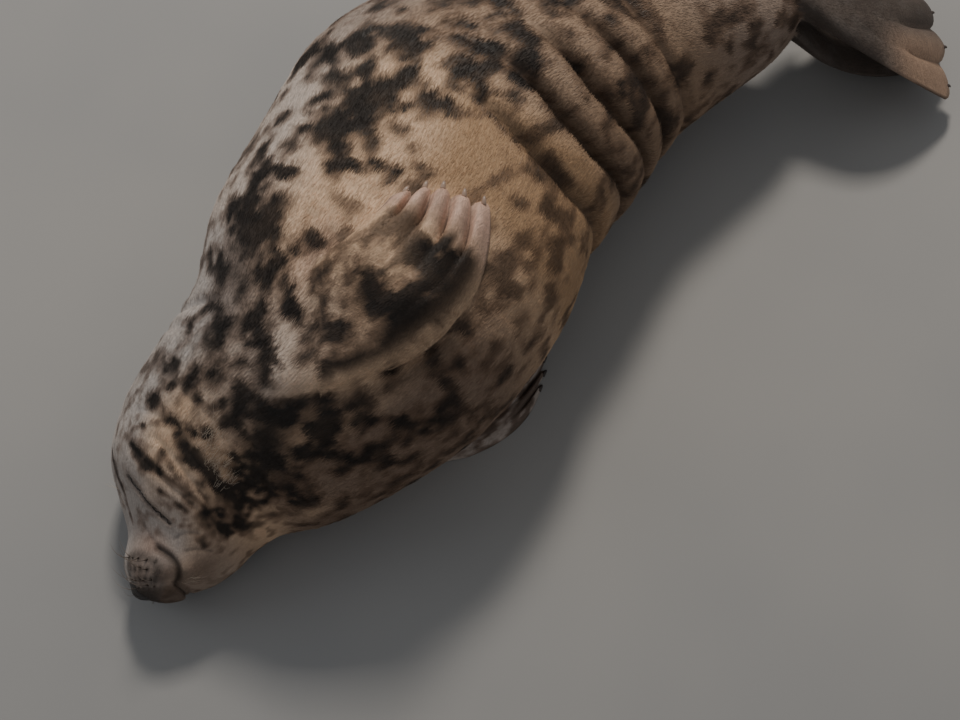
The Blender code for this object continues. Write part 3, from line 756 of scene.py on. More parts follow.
flipper_parts = {}
for limb in FLIPPERS:
    layers, v, w = flipper_layers(limb)
    points = np.vstack([layer.reshape(-1, 3) for layer in layers])
    flipper_parts[limb] = (points, sheet_faces(v.shape[0] - 1, v.shape[1] - 1), v, w)
    print(limb, "length", round(float(np.linalg.norm(points[0] - layers[0][-1, 0])), 3))

# %% The tail
TAIL_ENDS = in_plan([(530.0, 171.8, 113.0), (606.0, 179.5, 104.0)])
TAIL_SIZES = (  # place as a share of the length, half width and half height in millimetres
    ((0.0, 17.0, 10.0), (0.2, 16.3, 9.6), (0.4, 15.4, 8.8), (0.6, 13.4, 7.6))
    + ((0.78, 10.4, 6.0), (0.90, 7.2, 4.4), (0.97, 4.0, 2.6), (1.0, 1.2, 0.8))
)
TAIL_CORNERS = 28

tail_reach = TAIL_ENDS[1] - TAIL_ENDS[0]
tail_way = unit(tail_reach)
tail_side = unit(np.cross(tail_way, (0, 0, 1)))
tail_up = np.cross(tail_side, tail_way)
turn = np.linspace(0, 2 * math.pi, TAIL_CORNERS, endpoint=False)[:, None]
across, upward = tail_side * np.cos(turn), tail_up * np.sin(turn)
tail_rings = [
    TAIL_ENDS[0] + tail_reach * share + (across * wide + upward * high) / 1000
    for share, wide, high in TAIL_SIZES
]
tail_points, tail_faces = closed_tube(np.array(tail_rings))
print("tail:", len(tail_points), "points")

# %% [markdown]
# ## One skin
#
# Trunk, flippers and tail go through an exact Boolean union, and the skin comes out as one mesh. The
# right fore flipper lies under the belly without meeting it, and stays a shell of its own. Where a limb
# leaves the body, the joint is then relaxed, so that it reads as flesh and not as a cut.


# %% Union
def outward_faces(points, faces):
    """The same faces, all turned round if they enclose a negative volume."""
    volume = 0.0
    for face in faces:
        for second, third in zip(face[1:-1], face[2:]):
            volume += float(np.dot(points[face[0]], np.cross(points[second], points[third])))
    return [face[::-1] for face in faces] if volume < 0 else faces


def outward_object(name, points, faces):
    return mesh_object(name, points, outward_faces(points, faces))


trunk = outward_object("trunk", skin_points, skin_faces)
limbs = bpy.data.collections.new("limbs")
for limb, (points, faces, _, _) in flipper_parts.items():
    limbs.objects.link(outward_object(f"limb_{limb}", points, faces))
limbs.objects.link(outward_object("limb_tail", tail_points, tail_faces))
union = trunk.modifiers.new("union", "BOOLEAN")
union.operation, union.solver = "UNION", "EXACT"
union.operand_type, union.collection = "COLLECTION", limbs


def plain_copy(made, name):
    """The object as its modifiers leave it, as a new plain mesh object."""
    mesh = bpy.data.meshes.new_from_object(made.evaluated_get(bpy.context.evaluated_depsgraph_get()))
    mesh.name = name
    return into_scene(name, mesh)


def read_all(rows, name, width=3):
    """One value of every row of a Blender collection, as an array."""
    flat = np.empty(len(rows) * width, np.float32)
    rows.foreach_get(name, flat)
    return flat.reshape(-1, width).astype(float)


def set_points(mesh, points):
    """Moves a mesh's points, keeping them clear of the floor."""
    points[:, 2] = np.maximum(points[:, 2], FLOOR_CLEAR)
    mesh.vertices.foreach_set("co", points.astype(np.float32).ravel())
    mesh.update()


skin = plain_copy(trunk, "skin")
for item in [trunk, *limbs.objects]:
    bpy.data.objects.remove(item)
bpy.data.collections.remove(limbs)
print("skin:", len(skin.data.vertices), "points,", len(skin.data.polygons), "faces")


# %% What each point of the skin is
def described(points, part, along, angle, v, w, lie):
    """Rows of point, part, along, angle, v, w and the coat's lie, where one number fills a column."""
    columns = [np.broadcast_to(column, len(points)) for column in (part, along, angle, v, w)]
    return np.column_stack([points, *columns, np.broadcast_to(lie, (len(points), 3))])


def nearest_in(spots):
    """A function that gives the number of the spot nearest to a point."""
    tree = KDTree(len(spots))
    for index, spot in enumerate(spots):
        tree.insert(spot, index)
    tree.balance()
    return lambda point: tree.find(point)[1]


caps = len(skin_points) - grid_along.size  # the tail's dome, and the middle points of the two ends
cap_angles = [*np.resize(ring_angles, caps - 2), 0, 0]
trunk_along = np.append(grid_along, np.full(caps, LENGTH))
trunk_along[-2] = -MUZZLE_DOME
trunk_lie = np.vstack([tailward.reshape(-1, 3), np.tile(end_way, (caps, 1))])
source = [described(skin_points, 0, trunk_along, np.append(grid_angle, cap_angles), 0, 0, trunk_lie)]
for number, (points, _, v, w) in enumerate(flipper_parts.values(), start=1):
    limb_lie = unit(np.gradient(points[: v.size].reshape(*v.shape, 3), axis=0)).reshape(-1, 3)
    both_w = np.append(w / 2, 1 - w / 2)
    source.append(described(points, number, 0, 0, np.tile(v.ravel(), 2), both_w, np.tile(limb_lie, (2, 1))))
tail_share = (tail_points - TAIL_ENDS[0]) @ tail_way / np.linalg.norm(tail_reach)
tail_turn = np.resize(np.arange(TAIL_CORNERS) / TAIL_CORNERS, len(tail_points))
source = np.vstack([*source, described(tail_points, 5, 0, 0, tail_share, tail_turn, tail_way)])
points = read_all(skin.data.vertices, "co")
nearest = np.array([*map(nearest_in(source[:, :3]), points)])
part, along, angle, v, w = source[nearest, 3:8].T
lie = source[nearest, 8:11]
for number, name in enumerate(["trunk", *FLIPPERS, "tail"]):
    print(name, int((part == number).sum()), "points")

# %% Relaxing the joints
JOINTS = {  # how many rows of the flipper count as its root, and how far from them the skin is relaxed
    "fore_left": (6, 0.014),
    "fore_right": (7, 0.010),
    "hind_left": (8, 0.020),
    "hind_right": (8, 0.020),
}
RELAX_ROUNDS, RELAX_SHARE = 26, 0.6

joint = np.zeros(len(points))  # 1 near the places where limbs leave the body
for limb, (root_rows, reach) in JOINTS.items():
    layer, _, v_grid, _ = flipper_parts[limb]
    root_line = layer[: v_grid.size].reshape(*v_grid.shape, 3)[:root_rows, ::4].reshape(-1, 3)
    joint = np.maximum(joint, nearness(points, root_line, reach, np.ones(len(points), bool)))
joint = RELAX_SHARE * np.clip(joint * 1.3, 0, 1)[:, None]
ends = np.empty(len(skin.data.edges) * 2, np.int64)
skin.data.edges.foreach_get("vertices", ends)
count = np.bincount(ends, minlength=len(points))[:, None]
first, second = ends.reshape(-1, 2).T
for _ in range(RELAX_ROUNDS):  # each point moves towards the middle of its neighbours
    total = np.zeros_like(points)
    np.add.at(total, first, points[second])
    np.add.at(total, second, points[first])
    points = points + (total / np.maximum(count, 1) - points) * joint
set_points(skin.data, points)
print("joints relaxed:", int((joint > 0.3).sum()), "points")

# %% [markdown]
# ## The coat's markings
#
# A grey seal's spots are dark fur on pale fur, with soft ragged edges. The pattern is a random field,
# evened out so that a share from 0 to 1 says how much of a place is dark. That share is drawn:
# broad areas for the mottling, and a list of spots and bands for the marks that are seen one by one.
# Shade is painted into these colours too: darker ground where the seal lies in shade, and dark lines in its
# creases and grooves.

# %% Single spots
# How far along the body, the angle, half the length, half the width in degrees, and the strength.
FLANK_SPOTS = (  # on back, shoulder, loin and neck, which the side on the floor has as well
    (468, 69, 28, 9, 1.15), (490, 75, 21, 7, 1.1), (445, 74, 14, 5, 1.0), (458, 60, 10, 5, 0.95),
    (522, 76, 15, 7, 1.0), (535, 68, 14, 6, 0.95), (500, 58, 9, 5, 1.0), (518, 91, 17, 6, 1.05),
    (536, 84, 13, 6, 1.0), (482, 86, 10, 5, 0.95), (470, 92, 8, 4, 0.75), (426, 81, 10, 5, 0.95),
    (436, 89, 8, 4, 0.95), (450, 97, 8, 4, 0.85), (424, 97, 10, 4, 0.85), (414, 74, 7, 4, 0.7),
    (545, 47, 18, 7, 1.05), (560, 34, 15, 7, 0.95), (568, 60, 15, 7, 0.95), (590, 72, 17, 7, 1.05),
    (552, 102, 7, 3, 0.7), (475, 44, 14, 6, 0.9), (425, 42, 12, 5, 0.75), (245, 62, 15, 7, 0.75),
    (262, 66, 15, 7, 0.95), (258, 54, 14, 6, 0.85), (280, 58, 13, 6, 0.95), (298, 51, 14, 6, 0.95),
    (290, 76, 13, 6, 0.95), (275, 82, 15, 6, 0.95), (262, 74, 12, 5, 0.85), (262, 88, 16, 6, 0.85),
    (284, 92, 10, 3, 0.85), (335, 55, 18, 7, 1.0), (352, 66, 17, 7, 1.05), (372, 50, 13, 6, 0.95),
    (388, 62, 12, 5, 1.0), (332, 80, 9, 4, 0.85), (312, 66, 13, 6, 0.95), (318, 56, 15, 7, 1.05),
    (402, 50, 12, 5, 0.8), (224, 70, 13, 6, 0.6), (232, 84, 13, 6, 0.65), (212, 92, 12, 6, 0.6),
    (222, 98, 10, 4, 0.55), (600, 89, 17, 7, 1.0), (622, 84, 15, 6, 0.95), (636, 98, 15, 6, 1.1),
    (618, 103, 11, 4, 0.85), (590, 112, 10, 6, 0.9), (640, 72, 18, 8, 0.95), (652, 118, 12, 6, 0.85),
    (668, 107, 11, 5, 0.9), (625, 55, 16, 7, 0.85), (672, 84, 14, 7, 0.85), (705, 98, 15, 6, 0.85),
    (715, 112, 13, 5, 0.85), (690, 60, 17, 7, 0.9), (728, 78, 14, 7, 0.85), (616, 126, 10, 6, 0.7),
    (660, 134, 8, 5, 0.7), (755, 106, 12, 6, 0.45), (131, 60, 7.5, 4.5, 1.1), (125.5, 78, 5, 6, 1.1),
    (138, 96, 5.5, 4, 1.1), (130, 91, 5.5, 4, 1.0), (151, 82, 6.5, 4, 0.95), (153, 75, 8, 5, 0.9),
    (146, 66, 5.5, 4, 0.7), (166, 72, 11, 6, 0.85), (160, 60, 10, 6, 0.75), (172, 84, 11, 6, 0.95),
    (162, 92, 8, 4, 0.9), (101, 60, 6, 6, 0.6), (99, 82, 5, 4, 0.95), (110, 50, 9, 6, 0.35),
)
BELLY_SPOTS = (  # on throat, belly and arm
    (178, 116, 32, 15, 1.0), (152, 138, 24, 14, 0.95), (206, 124, 26, 13, 0.85), (128, 119, 12, 9, 0.8),
    (225, 140, 34, 14, 0.5), (165, 156, 19, 10, 0.6), (188, 97, 18, 8, 0.8), (162, 102, 14, 7, 0.85),
    (95, 140, 12, 8, 0.85), (410, 135, 10, 4, 0.95), (400, 142, 9, 4, 0.95), (400, 129, 7, 3, 0.85),
    (440, 136, 8, 4, 0.9), (438, 142, 8, 4, 0.95), (486, 140, 12, 3, 0.85), (500, 130, 8, 4, 0.8),
    (470, 128, 10, 5, 0.85), (415, 147, 10, 4, 0.85), (460, 147, 12, 4, 0.8), (420, 139, 5, 3, 0.8),
    (450, 152, 11, 4, 0.8), (385, 152, 14, 5, 0.75), (345, 138, 14, 5, 0.6), (330, 146, 16, 6, 0.55),
    (300, 144, 22, 7, 0.55), (268, 138, 20, 7, 0.5), (280, 155, 26, 8, 0.45), (350, 160, 16, 6, 0.6),
    (293, 122, 22, 6, 1.3), (268, 117, 18, 6, 1.1), (252, 110, 14, 5, 1.0), (316, 108, 9, 3, 0.7),
    (298, 103, 10, 4, 0.75), (278, 106, 12, 5, 0.8), (236, 104, 10, 5, 0.75),
)
PALE_PATCHES = (  # where old cream fur hides the dark
    (140, 80, 9, 6, 0.9), (124, 105, 8, 7, 0.95), (97, 95, 5.2, 6, 0.85), (93.5, 112, 4, 10, 0.7),
    (107, 78, 5, 7, 0.75), (94, 76, 3.5, 4, 0.6), (92, 165, 12, 8, 0.6), (160, 168, 18, 8, 0.6),
    (352, 80, 14, 8, 0.85), (350, 104, 15, 6, 0.55),
)
print("single spots:", len(FLANK_SPOTS) + len(BELLY_SPOTS))

# %% Dark bands
BANDS = (  # of the neck, the face and the loin: half the width in metres, the strength, the places
    (0.0074, 1.08, 93, 59, 88, 65, 87, 76, 86, 84, 83, 92, 82, 103),
    (0.0076, 1.0, 83, 100, 81, 110, 76, 120, 73, 132, 74, 143),
    (0.0046, 1.0, 103, 82, 98, 87, 91, 93, 86, 98),
    (0.01, 1.3, 118, 88, 113, 95, 109, 104, 109, 112, 106, 124, 98, 136, 91, 147),
    (0.0048, 0.85, 93, 106, 88, 116, 83, 128),
    (0.0036, 0.66, 74, 78, 72, 92, 68, 106),
    (0.005, 0.75, 104, 54, 112, 62, 117, 70),
    (0.0034, 0.92, 86, 26, 70, 36, 56, 40, 40, 42),
    (0.006, 0.62, 56, 104, 54, 116, 48, 128),
    (0.0075, 0.95, 546, 102, 537, 114, 526, 128, 520, 146),
    (0.008, 0.85, 596, 112, 580, 128, 576, 146),
    (0.0075, 0.7, 640, 116, 628, 130, 628, 148),
    (0.007, 0.6, 694, 114, 690, 130, 692, 148),
)

# %% Where each point reads the markings
# Flippers and tail read them from the trunk next to them, so that a spot can cross from one to the other.
find_trunk = nearest_in(grid.reshape(-1, 3))
for index in np.flatnonzero(part > 0):
    found = find_trunk(points[index])
    along[index], angle[index] = grid_along.flat[found], grid_angle.flat[found]
degrees = np.degrees(angle) % 360
turned = np.minimum(degrees, 360 - degrees)  # 0 at the back and 180 at the belly, on either side
trunk_only, fore, fore_right, hind_left, on_tail = (part == number for number in (0, 1, 2, 3, 5))
other_limbs, hind = part > 1, part > 2
small = ease(0.24, 0.10, along)  # the marks are smaller on the head and the neck


def offsets(size, *seeds):
    """Three random fields about 0, one for each direction."""
    return np.column_stack([grain(points, size, seed) - 0.5 for seed in seeds])


WARP, DEGREES_PER_METRE = 0.011, 420  # how far the pattern is pulled about, and the scale round the body

warp = WARP * (1 - 0.6 * small)[:, None] * offsets(0.020, 21, 31, 41)
warped = (along + warp[:, 0], degrees + warp[:, 1] * DEGREES_PER_METRE)


def strongest(spots, at_along, at_degrees, fall=1.0):
    """The strongest of many soft spots at each point."""
    field = np.zeros(len(points))
    for place, turn_at, half_length, half_width, strength in spots:
        away_squared = ((at_along * 1000 - place) / half_length) ** 2
        away_squared += ((at_degrees - turn_at) / half_width) ** 2
        field = np.maximum(field, strength * np.exp(-fall * away_squared))
    return field


def area(place, turn_at, half_length, half_width):
    """A soft area of the trunk, 1 at its middle."""
    return strongest([(place, turn_at, half_length, half_width, 1)], along, degrees)


def on_line(line, width):
    return near_line(points, line, width, trunk_only)


def on_sides(line, width):
    return np.maximum(*near_sides(points, line, width, trunk_only))


# %% How much of each place is dark
SPOT_FALL = 0.62
DARK_AREAS = (  # amount, place, angle, half length, half width
    (0.38, 270, 68, 80, 24), (0.20, 540, 60, 130, 34), (0.16, 240, 140, 90, 24), (0.20, 620, 95, 100, 40),
    (0.22, 800, 110, 120, 60), (0.16, 420, 146, 80, 16), (0.24, 205, 80, 45, 30), (0.42, 278, 113, 40, 9),
    (0.54, 285, 61, 75, 21), (0.06, 420, 66, 80, 20), (-0.42, 490, 117, 45, 17), (-0.34, 385, 85, 34, 12),
    (0.62, 89, 132, 24, 22), (-0.30, 800, 108, 65, 40), (0.40, 172, 114, 30, 18), (0.50, 150, 130, 40, 20),
)
ARM_PATCHES = (  # amount, then place and half size from root to tip, and place and half size across
    (0.90, 0.66, 0.10, 0.16, 0.17), (1.10, 0.32, 0.16, 0.20, 0.24),
    (0.45, 0.56, 0.09, 0.42, 0.09), (0.50, 0.24, 0.12, 0.60, 0.22),
)

hidden_side = degrees > 190
from_root = ease(0.10, 0.34, v)
top_w = 2 * np.minimum(w, 1 - w)  # across a flipper from its lower edge, the same above and below
share = 0.16 + 0.20 * hidden_side - 0.16 * ease(0.11, 0.075, along)
share += sum(amount * area(*where) for amount, *where in DARK_AREAS)
share += 0.08 * ease(122, 142, degrees) * (degrees < 190) * ease(0.13, 0.17, along) * ease(0.37, 0.30, along)
on_arm = 0.16 + sum(
    amount * bell((v - at_v) / half_v) * bell((top_w - at_w) / half_w)
    for amount, at_v, half_v, at_w, half_w in ARM_PATCHES
)
on_arm = (on_arm + 0.25) * ease(0.86, 0.72, v) - 0.25
share = np.where(fore, share * (1 - from_root) + on_arm * from_root, share)
share = np.where(hind, 0.20 - 0.18 * ease(0.60, 0.90, v), share)
share = np.where(fore_right, 0.22, share)
placed = strongest(FLANK_SPOTS + BELLY_SPOTS, *warped, SPOT_FALL)
placed = np.where(fore, placed * ease(0.48, 0.28, v) * ease(0.95, 0.86, v), placed)
far_side = 0.9 * strongest(FLANK_SPOTS, warped[0], 360 - warped[1], SPOT_FALL)
placed = np.where(hidden_side, np.maximum(placed, far_side), placed)
placed = np.where(other_limbs, 0.0, placed)
bands = [
    strength * np.maximum(*near_sides(points + 0.4 * warp, places(*route), half_width, trunk_only))
    for half_width, strength, *route in BANDS
]
dark_share = np.clip(np.maximum.reduce([share, placed, *bands]), 0, 1.3)


# %% The ragged field that the shares cut
def evened(values):
    """The same pattern, with its values spread evenly from 0 to 1."""
    return np.argsort(np.argsort(values)) / len(values)


streak_place = np.column_stack([v * 0.060, w * 0.130, part * 1.0])
broad = evened(grain(points + warp, 0.0190, 3, 3))
fine_pattern = evened(grain(points + warp, 0.0095, 13, 2))
streaky = evened(0.6 * grain(streak_place, 0.009, 23, 3) + 0.4 * grain(points, 0.013, 33, 3))
field = broad * (1 - 0.75 * small) + fine_pattern * 0.75 * small
field = np.where(fore, field * (1 - from_root) + streaky * from_root, field)
field = np.where(other_limbs, streaky, field)
cut = np.maximum(dark_share + field, 1.22 * placed + 0.36 * field)
softer = ease(0.14, 0.10, along) * trunk_only
pale_patch = strongest(PALE_PATCHES, along, degrees)
rim = np.maximum(on_line(ARM_EDGE + (0.004, -2.6), ARM_EDGE_WIDTH), fore * bell(top_w / 0.075))
rim = np.maximum(rim, 0.85 * fore * bell((1 - top_w) / 0.14) * ease(0.22, 0.40, v))
# The shadow under the arm's edge is painted dark along this line.
painted_arm_shadow = on_line(ARM_EDGE + (-0.005, 3.2), 0.0105)
black = ease(0.90, 1.38 + 0.06 * softer, cut) * (1 - 0.75 * area(430, 145, 80, 22) * trunk_only)
black *= (1 - 0.45 * fore_right) * np.clip(0.82 + 0.30 * grain(points, 0.012, 43), 0, 1)
black *= (1 - 0.9 * rim) * (1 - 0.85 * pale_patch)
brown = ease(0.54, 1.06, cut) * (1 - 0.8 * rim) * (1 - 0.7 * pale_patch)
print("black share:", round(float(black.mean()), 3), "brown share:", round(float(brown.mean()), 3))

# %% Ground colours under the spots, and painted shade
CREASE_SHADE = 0.0112  # half width of the line of painted shade in a crease

gold = ease(88, 106, turned) * ease(0.40, 0.46, along) * (1 - 0.75 * ease(0.53, 0.58, along))
gold = np.clip(gold + 0.45 * ease(118, 150, turned) * ease(0.30, 0.40, along), 0, 1)
gold = np.where(fore, gold * (1 - from_root) + 0.06, gold)
grey = 0.80 * ease(82, 46, turned) + 0.62 * ease(0.33, 0.22, along) * ease(120, 96, turned)
grey *= (1 - 0.85 * area(120, 86, 45, 28)) * (1 - 0.9 * pale_patch)
grey = np.clip(grey + 0.45 * ease(0.09, 0.03, along) + 0.5 * ease(0.76, 0.90, along), 0, 0.95)
# Painted shade: the ground is darker on the underside of the throat, chest, chin and muzzle, on the head, and
# over the loin and the rear, where the seal lies in shade.
dusk = np.maximum.reduce(
    [
        ease(124, 142, degrees) * ease(0.44, 0.32, along) * ease(0.10, 0.15, along) * (degrees < 200),
        0.72 * ease(0.70, 0.80, along),
        0.68 * ease(0.54, 0.60, along),
        0.42 * ease(0.115, 0.075, along) * ease(20, 50, turned),
        0.66 * ease(0.07, 0.02, along) * ease(100, 130, turned),
        0.46 * area(52, 22, 26, 20) * (turned < 90),
        0.85 * area(86, 134, 28, 24),
    ]
)
dusk = np.where(fore, 0.35 * ease(0.60, 0.45, v), dusk) * (1 - 0.8 * rim) * (1 - 0.8 * pale_patch)
# Painted shadow below the edge of the arm.
dusk = np.maximum(dusk, 0.45 * area(285, 112, 35, 9) * (1 - rim))
# Painted shade: dark lines in the creases of the loin and the armpit, and the painted shadow under the arm's
# edge.
crease = 0.88 * painted_arm_shadow
for depth, line in CREASES:
    away = (along - np.interp(turned, CREASE_TURNS, line)) / CREASE_SHADE
    dark = min(1, depth / 0.017) * bell(away) * ease(90, 116, turned)
    crease = np.maximum(crease, dark * trunk_only)
for depth, line in ARMPIT_FOLDS:
    crease = np.maximum(crease, depth / 0.008 * on_line(line, FOLD_WIDTH))
pink = np.maximum(0.60 * area(30, 74, 11, 22), 0.55 * area(318, 86, 35, 7)) * trunk_only
pink = np.maximum(pink, fore * ease(0.66, 0.90, v))

# %% The other flippers and the tail
pale_digit = ease(0.44, 0.76, v) * ease(0.46, 0.20, top_w) * hind_left
grey = np.where(other_limbs, 0.85 * (1 - pale_digit), np.where(fore, grey * (1 - from_root), grey))
# The hind flippers get their own dark skin together with painted shade; the right fore flipper, lying under
# the belly, gets painted shade.
dusk = np.where(hind, 0.62 - 0.10 * pale_digit, np.where(fore_right, 0.50, dusk))
brown = np.where(hind, 0.40 * brown * (1 - pale_digit) + 0.14, brown)
brown *= 1 - 0.75 * fore * ease(0.70, 0.84, v)
black = np.where(hind, (0.60 + 0.24 * grain(points, 0.016, 83)) * (1 - pale_digit), black)
pink = np.where(hind, 0.4 * pale_digit, pink)

# %% Lines of the face on the finished skin
FOLLICLE_ROWS = (17.2, 9.6, 2.0, -5.0)
FOLLICLE_COLUMNS = (41, 53, 65, 77, 88)  # odd rows stand 4 degrees further round

follicle_places = places(
    *(
        (place, turn_at + 4 * (row % 2))
        for row, place in enumerate(FOLLICLE_ROWS)
        for turn_at in FOLLICLE_COLUMNS
    )
)
web = (1 - digit_ridge(top_w)) ** 2 * ease(0.66, 0.84, v)
# Painted shade in the grooves of the eyes, lips and cheeks, and between the digits, where the fur is also
# left out.
line = 0.72 * np.append(line_depth, np.zeros(len(source) - len(line_depth)))[nearest] * trunk_only
line = np.maximum(line, 0.55 * ease(0.28, 0.75, web) * ~(trunk_only | on_tail))
follicles = np.zeros(len(points))
for side in (follicle_places, other_side(follicle_places)):
    follicles = np.maximum(follicles, nearness(points, body_spot(*side.T), 0.0031, trunk_only))
pad_rim = np.abs(np.hypot((along - 0.006) / 0.0140, (turned - 65) / 29) - 1) / 0.24
near_lips = on_sides(LIP_LINE, 0.0050)
ragged_along = along + 0.004 * (grain(points, 0.006, 91) - 0.5)
muzzle_brown = [
    ease(0.006, -0.011, ragged_along) * (1 - 0.4 * ease(140, 165, turned)),
    0.90 * area(4, 66, 19, 32) + 0.85 * area(8, 106, 18, 15),
    # painted shade round the slits of the shut eyes
    0.72 * on_sides(EYE_SLIT, 0.0060),
    0.95 * near_lips,
]
muzzle_black = [
    ease(0.002, -0.011, along) * (0.80 - 0.42 * ease(76, 120, turned)),
    0.70 * bell(pad_rim) * (0.45 + 0.75 * grain(points, 0.007, 97)),
    0.85 * follicles,
    0.50 * near_lips,
]
brown = np.maximum(brown, np.clip(np.maximum.reduce(muzzle_brown), 0, 1) * trunk_only)
brown = np.maximum(brown, 0.78 * area(30, 140, 32, 26) * trunk_only)
black = np.maximum(black, np.maximum.reduce(muzzle_black) * trunk_only)


def write_attribute(mesh, name, values):
    """Stores a number or a vector at every point."""
    vector = np.ndim(values) > 1
    layer = mesh.attributes.new(name, "FLOAT_VECTOR" if vector else "FLOAT", "POINT")
    layer.data.foreach_set("vector" if vector else "value", np.ascontiguousarray(values, np.float32).ravel())


comb = np.column_stack([along + v * 0.2, angle * 0.16 + w * 0.12, part * 1.0])
marks = dict(black=black, brown=brown, grey=grey, gold=gold, dusk=dusk, pink=pink, line=line, comb=comb)
marks["crease"] = np.clip(crease, 0, 1)
for name, values in marks.items():
    write_attribute(skin.data, name, values)
    print(name, "mean", round(float(np.mean(values)), 3))

# %% [markdown]
# ## The skin's finish
#
# Skin and coat read the same markings, so both take their colour from one function. What differs is
# the small stuff: the skin shows fine combed hair as bump, and the coat varies from tuft to tuft.

# %% Colours of the coat
CREAM = (0.72, 0.497, 0.328)
LAYERS = (  # marking, strength and colour, from the ground up
    ("gold", 1.0, (0.475, 0.300, 0.170)),
    ("grey", 1.0, (0.550, 0.495, 0.455)),
    ("pink", 1.0, (0.640, 0.430, 0.335)),
    # painted shade, and the dark skin of the hind flippers
    ("dusk", 0.85, (0.170, 0.115, 0.085)),
    ("brown", 0.72, (0.128, 0.072, 0.043)),
    # painted shade in creases and under the arm's edge
    ("crease", 0.80, (0.062, 0.036, 0.023)),
    ("black", 0.96, (0.010, 0.008, 0.007)),
    # painted shade in the grooves of the face and between the digits
    ("line", 1.0, (0.016, 0.011, 0.009)),
)


def coat_colour(finish):
    """The coat's colour from the markings: pale ground, then painted shade and dark flipper skin, spots, and
    painted shade in creases and in grooves of bare skin.
    """
    colour = CREAM
    for name, strength, layer in LAYERS:
        mark = finish.attribute(name)
        colour = finish.blend(mark if strength == 1.0 else mark * strength, colour, layer)
    return colour


# %% Skin finish
COMB_SIZES = (60.0, 900.0, 7.0)  # hair marks are long along the coat and narrow across it

skin_finish = Finish("seal skin", 0.62, 0.26)
combed = {0: skin_finish.attribute("comb", "Vector"), 1: COMB_SIZES}
combed = skin_finish.node("ShaderNodeVectorMath", combed, operation="MULTIPLY")
hair = skin_finish.noise(combed, 1.0, 2.5, 0.6)
fine = skin_finish.noise(skin_finish.place(), 420.0, 2.0)
tone = skin_finish.spread(hair, 0.3, 0.7, 0.78, 1.18) * skin_finish.spread(fine, 0.3, 0.7, 0.92, 1.08)
skin_finish.toned(coat_colour(skin_finish), tone)
skin_finish.link("Roughness", skin_finish.spread(hair, 0.3, 0.7, 0.50, 0.70))
skin_finish.bump(hair + fine * 0.5, 0.0007, 0.7)
dress(skin, skin_finish)

# %% [markdown]
# ## Short fur
#
# The coat is short and lies flat, from the nose towards the tail and down each flipper. Geometry Nodes
# scatter small pointed tufts over the skin, each turned so that it lies along the coat, and every tuft
# carries the markings of its root. One tree serves all zones, with its sizes as named inputs.

# %% How dense and how long the fur is
TUFT_LENGTH, LENGTH_RANGE = 0.0066, (0.65, 1.25)  # in metres, and as random shares of that
NOSE_BARE, NOSE_FADE = 0.013, 0.002  # how far round the nose no fur grows, and how soon it is full

normals = read_all(skin.data.vertices, "normal")
size = np.where(trunk_only, 0.36 + 0.64 * ease(0.03, 0.20, along), 0.58 - 0.26 * ease(0.5, 1.0, v))
flat_lie = unit(lie + 0.10 * offsets(0.030, 51, 61, 71))
nose_middle = body_spot(-0.004, 0)
density = 0.42 + 0.58 * ease(-0.35, 0.25, normals[:, 2])
density *= 1 - 0.97 * ease(0.25, 0.6, line)
density *= np.where(trunk_only, 1 + 1.3 * ease(0.16, 0.05, along), 1.5 - 1.125 * ease(0.93, 0.995, v))
density *= np.clip((np.linalg.norm(points - nose_middle, axis=1) - NOSE_BARE) / NOSE_FADE, 0, 1)
laid_way = unit(flat_lie - normals * (flat_lie * normals).sum(1)[:, None], 1e-6)
sideways = np.abs(np.cross(normals, laid_way)[:, 2])
fall = np.minimum(laid_way[:, 2], 0) - 0.35 * sideways - 0.10 * np.maximum(-normals[:, 2], 0)
tip_height = points[:, 2] + LENGTH_RANGE[1] * TUFT_LENGTH * size * fall
density *= ease(0.0010, 0.0030, np.minimum(tip_height, points[:, 2] - 0.0010))  # no tip meets the floor
trunk_turn = (np.degrees(angle) + 90) % 360 / 360
unwrap = np.where(trunk_only, (along, trunk_turn, 0 * w), (v, w, 0 * w)).T
for name, values in {"size": size, "lie": flat_lie, "unwrap": unwrap}.items():
    write_attribute(skin.data, name, values)
print("mean density:", round(float(density.mean()), 3))

# %% One tuft, and the coat's finish
TUFT_CORNERS = np.array(
    [(0, -0.04, -0.55), (-0.5, 0.30, 0.0), (0.5, 0.30, 0.0), (0, 0.34, 0.55), (0, 1.0, 0.30)]
)
TUFT_FACES = [(0, 1, 3), (0, 3, 2), (0, 2, 1), (4, 3, 1), (4, 2, 3), (4, 1, 2)]

tuft = outward_object("tuft", TUFT_CORNERS, TUFT_FACES)
write_attribute(tuft.data, "blade", TUFT_CORNERS)
coat_finish = Finish("seal coat", 0.56, 0.26)
shade = coat_finish.attribute("shade")
blade = coat_finish.node("ShaderNodeSeparateXYZ", {0: coat_finish.attribute("blade", "Vector")}, "Y")
# Each tuft is painted darker at its root and paler at its tip, as painted shade deep in the fur.
tone = (shade * 0.24 + 0.88) * coat_finish.spread(blade, 0.0, 0.9, 0.90, 1.08)
coat_finish.toned(coat_colour(coat_finish), tone)
coat_finish.link("Roughness", coat_finish.spread(shade, 0.0, 1.0, 0.44, 0.62))

# %% The tree that lays the coat
COAT_SIZES = {
    "Tufts per square metre": 310000.0,
    "Length": TUFT_LENGTH,
    "Width": 0.00084,
    "Lift": 0.030,
    "Stray": 0.26,
    "Seed": 0,
    "Tuft": tuft,
    "Material": coat_finish.material,
}
SOCKET_KINDS = {float: "Float", int: "Int", bpy.types.Object: "Object", bpy.types.Material: "Material"}
COAT = Tree(bpy.data.node_groups.new("coat", "GeometryNodeTree"))


